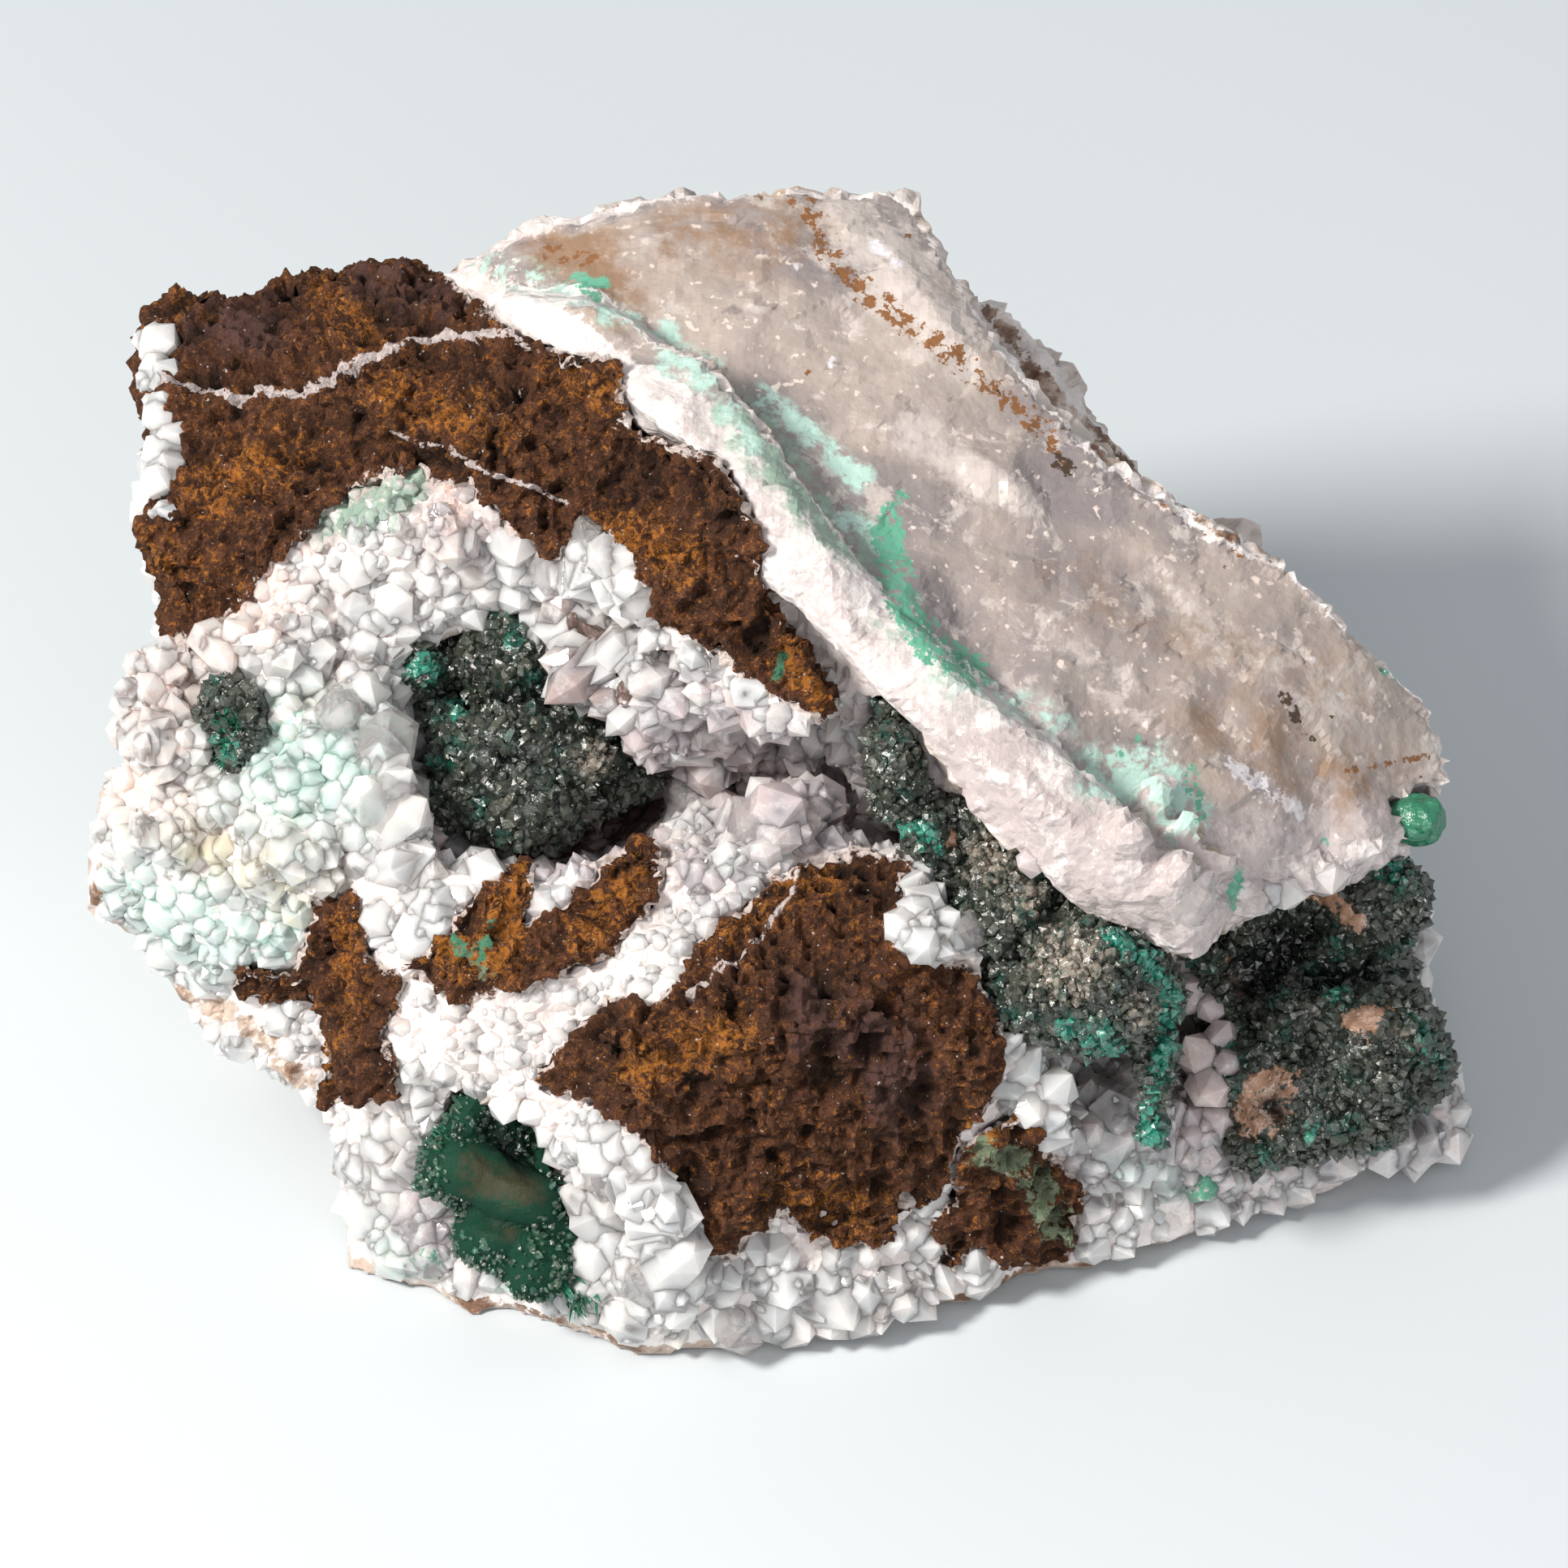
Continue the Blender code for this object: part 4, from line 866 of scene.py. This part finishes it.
def spread(obj, normals, count, seed):
    """Places spread evenly over a piece's faces, with the normals that go with its points."""
    mesh = obj.data
    mesh.calc_loop_triangles()
    corners = np.empty(len(mesh.loop_triangles) * 3, np.int32)
    mesh.loop_triangles.foreach_get("vertices", corners)
    corners = corners.reshape(-1, 3)
    points = places(obj)
    first, second, third = (points[corners[:, k]] for k in range(3))
    area = np.linalg.norm(np.cross(second - first, third - first), axis=1)
    dice = np.random.RandomState(seed)
    face = np.searchsorted(np.cumsum(area) / area.sum(), dice.rand(count))
    one, two = dice.rand(count, 1), dice.rand(count, 1)
    over = one + two > 1
    one, two = np.where(over, 1 - one, one), np.where(over, 1 - two, two)
    spots = first[face] + (second - first)[face] * one + (third - first)[face] * two
    return spots, normals[corners[face, 0]], corners[face, 0]


def unit(vectors):
    return vectors / np.linalg.norm(vectors, axis=1)[:, None]


def grown(name, form, spots, slope, widths, lengths, seed, sunk=0.4, crooked=0.18, lean=0.0, marks=()):
    """Many crystals in one piece: a form copied to each spot, along its slope, at its width and length.

    A share of each is sunk, its tip is crooked, its way leans at random, and it takes the marks there.
    """
    corners, faces = form
    dice = np.random.RandomState(seed)
    count = len(spots)
    ways = unit(slope + dice.normal(0, lean, slope.shape))
    helper = np.where(np.abs(ways[:, 2:]) < 0.9, [[0, 0, 1]], [[1, 0, 0]])
    side = unit(np.cross(helper, ways))
    other = np.cross(ways, side)
    spin = dice.rand(count, 1) * 2 * math.pi
    side, other = side * np.cos(spin) + other * np.sin(spin), other * np.cos(spin) - side * np.sin(spin)
    local = np.repeat(corners[None], count, axis=0)
    local[:, :, 0] *= dice.uniform(0.75, 1.25, (count, 1))
    local[:, np.argmax(corners[:, 2]), :2] += dice.uniform(-crooked, crooked, (count, 2))
    local[:, :, 2] -= sunk
    local[:, :, :2] *= widths[:, None, None]
    local[:, :, 2] *= lengths[:, None]
    points = spots[:, None] + local[:, :, :1] * side[:, None] + local[:, :, 1:2] * other[:, None] \
        + local[:, :, 2:] * ways[:, None]
    points[:, :, 2] = np.maximum(points[:, :, 2], FOOT_GAP)
    step = np.arange(count)[:, None, None] * len(corners)
    mesh = bpy.data.meshes.new(name)
    mesh.from_pydata(points.reshape(-1, 3), [], (faces[None] + step).reshape(-1, 3))
    mesh.update()
    obj = bpy.data.objects.new(name, mesh)
    bpy.context.scene.collection.objects.link(obj)
    write(obj, "tone", np.repeat(dice.rand(count), len(corners)))
    for mark in marks:
        write(obj, mark, np.repeat(marked(spots, slope, mark), len(corners)))
    return obj


def tree_of(*nodes):
    """A search tree over the meshes of CAD nodes."""
    points, faces = [], []
    for node in nodes:
        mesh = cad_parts[node].data
        faces += [[len(points) + index for index in face.vertices] for face in mesh.polygons]
        points += [v.co.copy() for v in mesh.vertices]
    return BVHTree.FromPolygons(points, faces)


def clear_of(tree, spots, gap):
    """Which spots lie further than the gap, in millimetres, from what the tree holds."""
    return np.array([tree.find_nearest(Vector(spot))[3] > gap * MM for spot in spots])


LIMONITE = [name for name in sorted(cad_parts) if name.startswith("limonite")]
MALACHITE = [name for name in sorted(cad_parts) if name.startswith("malachite")]

# Lines in the layout view: the white crest below the slab, the slab's far rim, and druse as fine as sugar
CREST = [
    (-20, 76.8), (-15, 74.6), (-9.5, 70.8), (-4, 65.8), (-1, 61), (2.3, 57), (6, 53), (11.5, 47.5),
    (17, 42.5), (21, 38), (27, 34), (29.5, 33),
]
RIM = [
    (-24.2, 80.5), (-15.9, 83.9), (-9.6, 85.5), (2.2, 87), (10, 87), (13, 82), (16.2, 76), (23.7, 67),
    (32.9, 61), (39.8, 58), (49, 51), (50.5, 44.6),
]
SUGAR = [
    [(-31, 24), (-24, 25), (-17, 26), (-12, 28), (-9, 33)],
    [(-36, 59), (-32.6, 61.5), (-28, 63.5), (-23.9, 62.5)],
]

# Fields of large points in the layout view: the middle across and up, and half the width and the height
COARSE = [
    (-28, 44, 4, 7), (-45, 65, 4, 8), (-10, 12, 7, 9), (6, 4, 12, 4), (28, 19, 7, 7), (-2, 42, 6, 5),
    (13, 26, 4, 5), (-18, 58, 9, 3), (46, 18, 5, 4), (-22, 38, 8, 2.5), (-26, 12, 5, 8),
]

# Widths in millimetres between which the quartz points lie away from those fields
NARROW_POINT = 1.2
WIDE_POINT = 3.2

# Distances in millimetres that the druse keeps from the crest, the rim, the limonite and the malachite
CREST_CLEAR = 3.5
RIM_CLEAR = 5
LIMONITE_CLEAR = 0.75
MALACHITE_CLEAR = 0.8


def point_widths(spots, normals, dice):
    """Random widths for the druse in millimetres, large in the coarse fields and small by the crest."""
    across, up = layout(spots)
    coarse = np.zeros(len(spots))
    for x, y, wide, high in COARSE:
        coarse = np.maximum(coarse, 1 - np.hypot((across - x) / wide, (up - y) / high))
    coarse = np.clip(coarse * 2, 0, 1)
    fine = np.clip(1.3 - line_distance(across, up, CREST) / 4.5, 0, 1)
    for line in SUGAR:
        fine = np.maximum(fine, np.clip(1.2 - line_distance(across, up, line) / 5, 0, 1))
    shown = ease(facing(normals), 0, 0.3)
    low = NARROW_POINT + 0.6 * coarse * shown - 0.5 * fine
    high = WIDE_POINT + 1.6 * coarse * shown - 1.5 * fine
    return low + (high - low) * dice.rand(len(spots))**(1.7 - 0.5 * coarse)


def druse(rock, normals, finish):
    """Thousands of small quartz points over the rock, in three pieces."""
    form = shape("quartz_point", 6, 0.32)
    spots, ways, _ = spread(rock, normals, DRUSE_TRIES, 41)
    dice = np.random.RandomState(42)

    # The slab, the crest, the rim, the brown foot and the recesses painted in shade stay bare, and so does
    # the back
    across, up = layout(spots)
    inside_slab = inside_depth(across, up, SLAB)
    toward = facing(ways)
    keep = (slab_share(spots, ways) < 0.3) & (spots[:, 2] > 1.6 * MM)
    keep &= (inside_slab < -3) | (toward > 0.35)
    keep &= toward > dice.uniform(-0.3, 0.0, len(spots))
    keep &= line_distance(across, up, CREST) > CREST_CLEAR
    keep &= marked(spots, ways, "skin") < 0.35
    keep &= line_distance(across, up, RIM) > RIM_CLEAR
    keep &= (inside_slab < -1.5) | (across < 10)
    # No points where the hollow is painted in shade
    keep &= marked(spots, ways, "painted_shade") < 0.3
    spots, ways = spots[keep], ways[keep]

    # The limonite and the malachite stay bare, but for the left end of the ridge
    across, up = layout(spots)
    ridge_end = (across < -40) & (up > 60) & (ways[:, 0] < -0.35)
    keep = clear_of(tree_of(*LIMONITE), spots, LIMONITE_CLEAR) | ridge_end
    keep &= clear_of(tree_of(*MALACHITE), spots, MALACHITE_CLEAR)
    spots, ways = spots[keep], ways[keep]

    widths = point_widths(spots, ways, dice) * MM
    lengths = widths * dice.uniform(1.1, 1.5, len(spots))
    ways = unit(ways + dice.normal(0, 0.16, ways.shape) + 0.25 * np.array(TOWARD_VIEWER))
    tip = spots + ways * (lengths * 0.45)[:, None]
    low, high = (np.array(corner) for corner in solid_box)
    inside = ((tip > low) & (tip < high + TIP_OVER)).all(axis=1)
    spots, ways, widths, lengths = spots[inside], ways[inside], widths[inside], lengths[inside]
    third = np.digitize(spots[:, 0], np.quantile(spots[:, 0], [1 / 3, 2 / 3]))
    marks = [name for name, *_ in POINT_MARKS]
    for k, name in enumerate(("druse_left", "druse_middle", "druse_right")):
        mine = third == k
        piece = grown(name, form, spots[mine], ways[mine], widths[mine], lengths[mine], 43 + k, sunk=0.64,
                      crooked=0.22, marks=marks)
        dressed(piece, finish)


def hollow_points(crust, normals, finish):
    """The larger points that stand in the big hollow."""
    form = shape("hollow_point", 6, 0.35)
    spots, ways, _ = spread(crust, normals, HOLLOW_TRIES, 51)
    dice = np.random.RandomState(52)
    keep = (((spots - np.array(HOLLOW_MIDDLE) * MM) * ways).sum(1) < 0) | (facing(ways) > 0.25)
    spots, ways = spots[keep], ways[keep]
    keep = clear_of(tree_of(*MALACHITE), spots, 0.9) & clear_of(tree_of(*LIMONITE), spots, 0.7)
    # No points where the hollow is painted in shade; the rest take the painted shade near it
    keep &= marked(spots, ways, "painted_shade") < 0.3
    spots, ways = spots[keep], ways[keep]
    widths = (1.2 + 2.4 * dice.rand(len(spots))**1.8) * MM
    lengths = widths * dice.uniform(1.2, 1.8, len(spots))
    ways = unit(ways + dice.normal(0, 0.3, ways.shape) + 0.3 * np.array(TOWARD_VIEWER))
    piece = grown("hollow_points", form, spots, ways, widths, lengths, 53, sunk=0.45,
                  marks=("mauve", "pink", "tan", "painted_shade"))
    dressed(piece, finish)


def malachite_grains(masses, finish):
    """The small glossy crystals that cover the malachite, finer and brighter on the velvety mound."""
    form = shape("malachite_grain", 5, 0.35)
    for k, (mass, normals, count) in enumerate(masses):
        velvety = "velvet" in mass.name
        spots, ways, near = spread(mass, normals, count, 61 + k)
        depth = np.empty(len(mass.data.vertices), np.float32)
        mass.data.attributes["depth"].data.foreach_get("value", depth)
        dice = np.random.RandomState(71 + k)
        widths = (0.3 + 0.75 * dice.rand(len(spots))**1.8) * (0.6 if velvety else 1.0) * MM
        lengths = widths * dice.uniform(1.0, 1.9, len(spots))
        keep = (marked(spots, ways, "flat") < 0.4) & (marked(spots, ways, "brown") < 0.2)
        spots, ways, widths, lengths, near = spots[keep], ways[keep], widths[keep], lengths[keep], near[keep]
        piece = grown(mass.name.replace("growth", "crystals"), form, spots, ways, widths, lengths, 81 + k,
                      sunk=0.35, lean=0.5, marks=("teal", "dust_and_glints"))
        # The crystals take the painted shade of the creases they stand in
        write(piece, "depth", np.repeat(depth[near], len(form[0])))
        bright = np.repeat(dice.uniform(0.1, 0.4, len(spots)), len(form[0]))
        write(piece, "bright", bright * velvety)
        dressed(piece, finish)


# Larger quartz points, each with its place in the layout view and its width, in millimetres
CLEAR = [
    (-28.2, 45.4, 4.6), (-28.0, 41.0, 4.4), (-23.4, 37.6, 4.0), (-16.3, 58.2, 3.8), (-6.1, 41.7, 5.0),
    (-10.1, 55.4, 3.4), (13.0, 32.2, 3.2), (-46.8, 64.8, 4.4), (-2.2, 39.8, 3.6), (-14.0, 60.3, 3.0),
    (-8.4, 48.5, 3.4), (-5.0, 46.5, 3.8), (-27.5, 49.5, 3.6), (-24.8, 52.6, 3.2), (20.5, 24.0, 3.2),
    (30.8, 20.5, 3.4), (-9.6, 7.4, 4.2), (-3.5, 4.0, 4.0), (-12.6, 14.8, 3.6), (-31.5, 47.5, 3.6),
    (-47.5, 61.0, 3.4), (23.3, 20.6, 2.8), (-25.8, 11.0, 3.8), (29.0, 35.0, 3.2),
]
ROSY = [
    (28.4, 29.6, 2.4), (28.9, 27.6, 2.8), (29.2, 25.4, 3.0), (29.6, 23.2, 3.2), (30.2, 21.0, 3.2),
    (28.2, 20.6, 2.8), (30.8, 18.6, 3.0), (28.8, 17.6, 3.0), (31.0, 24.6, 2.6), (30.4, 26.6, 2.4),
    (29.8, 16.0, 2.8), (31.4, 22.6, 2.2), (28.4, 23.6, 2.2), (22.8, 20.0, 3.0), (24.0, 18.2, 3.0),
    (22.0, 17.6, 3.4), (19.2, 21.0, 3.2), (17.4, 19.6, 2.8),
]

# Points beside the left end of the ridge: their least place and width, and how far these vary
BESIDE_FROM = [-46.3, 61.5, 0.9]
BESIDE_RANGE = [2.7, 13.4, 2.4]
BESIDE_DICE = np.random.RandomState(94).rand(80, 3)**[1, 1, 1.8]
BESIDE = (np.array(BESIDE_FROM) + BESIDE_DICE * BESIDE_RANGE).tolist()

# Sprays of malachite needles: place in the layout view, lean across and up, number and length of needles
SPRAYS = [
    (-14.9, 6.9, 0.5, -0.7, 90, 3.2), (-13.4, 11.9, 0.9, 0.3, 50, 2.4), (-24.6, 17.5, -0.6, 0.3, 30, 1.0),
    (-39.4, 46.6, -0.3, 0.2, 60, 1.4), (-40.2, 44.6, -0.5, -0.6, 50, 1.4),
]


def shown_spots(tree, places_in_view):
    """Which places in the layout view show the specimen, where they lie on it, and the slopes there."""
    front = Vector((0, -FRONT_TO_ORIGIN * MM, 0))
    met, spots, slope = [], [], []
    for across, up in places_in_view:
        start = front + Vector((across * MM, 0, 0)) + UP_IN_VIEW * up * MM + TOWARD_VIEWER * SIGHT_LENGTH
        hit, normal, _, _ = tree.ray_cast(start, -TOWARD_VIEWER)
        met.append(hit is not None)
        if hit is not None:
            spots.append(hit)
            slope.append(normal)
    return np.array(met), np.array(spots), np.array(slope)


def standing_points(name, tree, finish, listed, seed):
    """Larger quartz points, each where the list names it."""
    met, spots, slope = shown_spots(tree, [(across, up) for across, up, _ in listed])
    widths = np.array([width for _, _, width in listed])[met] * MM
    ways = slope + 0.5 * np.array(TOWARD_VIEWER)
    piece = grown(name, shape(name, 6, 0.36), spots, ways, widths, widths * 1.35, seed, sunk=0.5, lean=0.25,
                  marks=("mauve", "pink"))
    return dressed(piece, finish)


def needles(tree, finish):
    """Sprays of bright green malachite needles."""
    form = shape("needle", 4, 0.3)
    dice = np.random.RandomState(95)
    spots, ways, lengths = [], [], []
    for across, up, lean_across, lean_up, count, length in SPRAYS:
        around = np.array([across, up]) + dice.normal(0, 0.45, (count, 2))
        _, found, slope = shown_spots(tree, around)
        lean = np.array([lean_across, 0, 0]) + lean_up * np.array(UP_IN_VIEW) + 0.5 * np.array(TOWARD_VIEWER)
        spots.append(found)
        ways.append(unit(slope) * 0.3 + lean + dice.normal(0, 0.35, found.shape))
        lengths.append(length * MM * dice.uniform(0.5, 1.0, len(found)))
    spots, ways, lengths = np.concatenate(spots), np.concatenate(ways), np.concatenate(lengths)
    widths = dice.uniform(0.14, 0.26, len(spots)) * MM
    piece = grown("malachite_needles", form, spots, ways, widths, lengths, 96, sunk=0.15, crooked=0)
    write(piece, "bright", np.repeat(dice.uniform(0.5, 1.0, len(spots)), len(form[0])))
    return dressed(piece, finish)


# The stage: a wide table, an even sky, a key light from the left and a soft fill from the front
FLOOR_WIDTH = 6
FLOOR_DROP = 0.2 * MM
FLOOR_GREY = (0.512, 0.556, 0.584)
SKY = (0.95, 0.965, 0.99)
SKY_STRENGTH = 0.54
LIGHTS = [
    ("key", (-0.42, -0.26, 0.50), 0.15, 7.6, (1.0, 0.95, 0.89)),
    ("fill", (0.22, -0.75, 0.26), 0.5, 2.6, (1.0, 0.965, 0.94)),
]
LIT_HEIGHT = 0.025


def floor():
    deselect()
    bpy.ops.mesh.primitive_plane_add(size=FLOOR_WIDTH, location=(0, 0, -FLOOR_DROP))
    plane = bpy.context.object
    plane.name = "floor"
    material = bpy.data.materials.new("floor")
    material.use_nodes = True
    shader = material.node_tree.nodes["Principled BSDF"]
    shader.inputs["Base Color"].default_value = (*FLOOR_GREY, 1)
    shader.inputs["Roughness"].default_value = 0.9
    shader.inputs["Specular IOR Level"].default_value = 0.1
    plane.data.materials.append(material)


def lights():
    scene = bpy.context.scene
    scene.world = bpy.data.worlds.new("studio")
    scene.world.use_nodes = True
    sky = scene.world.node_tree.nodes["Background"]
    sky.inputs["Color"].default_value = (*SKY, 1)
    sky.inputs["Strength"].default_value = SKY_STRENGTH
    for name, place, size, power, colour in LIGHTS:
        light = bpy.data.lights.new(name, "AREA")
        light.shape = "DISK"
        light.size = size
        light.energy = power
        light.color = colour
        obj = bpy.data.objects.new(name, light)
        obj.location = place
        obj.rotation_euler = (Vector((0, 0, LIT_HEIGHT)) - Vector(place)).to_track_quat("-Z", "Y").to_euler()
        scene.collection.objects.link(obj)
    scene.view_settings.view_transform = "Standard"


def camera():
    data = bpy.data.cameras.new("camera")
    data.lens = data.sensor_width * CAMERA_DISTANCE / SHOWN_WIDTH
    data.clip_end = 20
    obj = bpy.data.objects.new("camera", data)
    looked_at = Vector((0, -FRONT_TO_ORIGIN * MM, 0)) + UP_IN_VIEW * LOOKED_AT_UP * MM
    obj.location = looked_at + TOWARD_VIEWER * CAMERA_DISTANCE
    obj.rotation_euler = (-TOWARD_VIEWER).to_track_quat("-Z", "Y").to_euler()
    bpy.context.scene.collection.objects.link(obj)
    bpy.context.scene.camera = obj


# The malachite: each growth's lumps as (size, height), its crystals, and how plush and bright it is
GROWTHS = [
    ("malachite_pocket", [(3.4, 1.5), (1.5, 0.8)], 3600, 0, 0),
    ("malachite_drape", [(3.6, 1.4), (1.5, 0.8)], 4200, 0, 0),
    ("malachite_shelf", [(3.4, 1.7), (1.5, 0.9)], 6400, 0, 0),
    ("malachite_velvet", [(4.0, 0.5), (1.4, 0.25)], 1500, 1, 0),
    ("malachite_tuft", [(1.6, 0.7), (0.8, 0.3)], 400, 0, 0),
    ("malachite_button", [(1.3, 0.5)], 0, 0, 1),
]


def main():
    white = rock_finish()
    rock, rock_normals = quartz_matrix(white)
    crust, crust_normals = hollow_crust(white)
    points = point_finish()
    druse(rock, rock_normals, points)
    hollow_points(crust, crust_normals, points)

    brown = limonite_finish()
    quartz = tree_of("quartz_rock", "quartz_crust")
    for node in LIMONITE:
        limonite_patch(node, brown, quartz)

    green = malachite_finish("malachite", 0.7)
    velvety = malachite_finish("velvet_malachite", 0.08)
    masses = []
    for node, lumps, crystals, plush, bright in GROWTHS:
        mass, normals = malachite_mass(node, velvety if plush else green, lumps, plush, bright)
        if crystals:
            masses.append((mass, normals, crystals))
    malachite_grains(masses, green)

    whole = tree_of(*sorted(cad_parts))
    standing_points("clear_points", quartz, clear_finish(), CLEAR, 91)
    standing_points("rosy_points", whole, points, ROSY, 92)
    standing_points("edge_points", whole, points, BESIDE, 93)
    needles(whole, green)

    floor()
    lights()
    camera()


main()
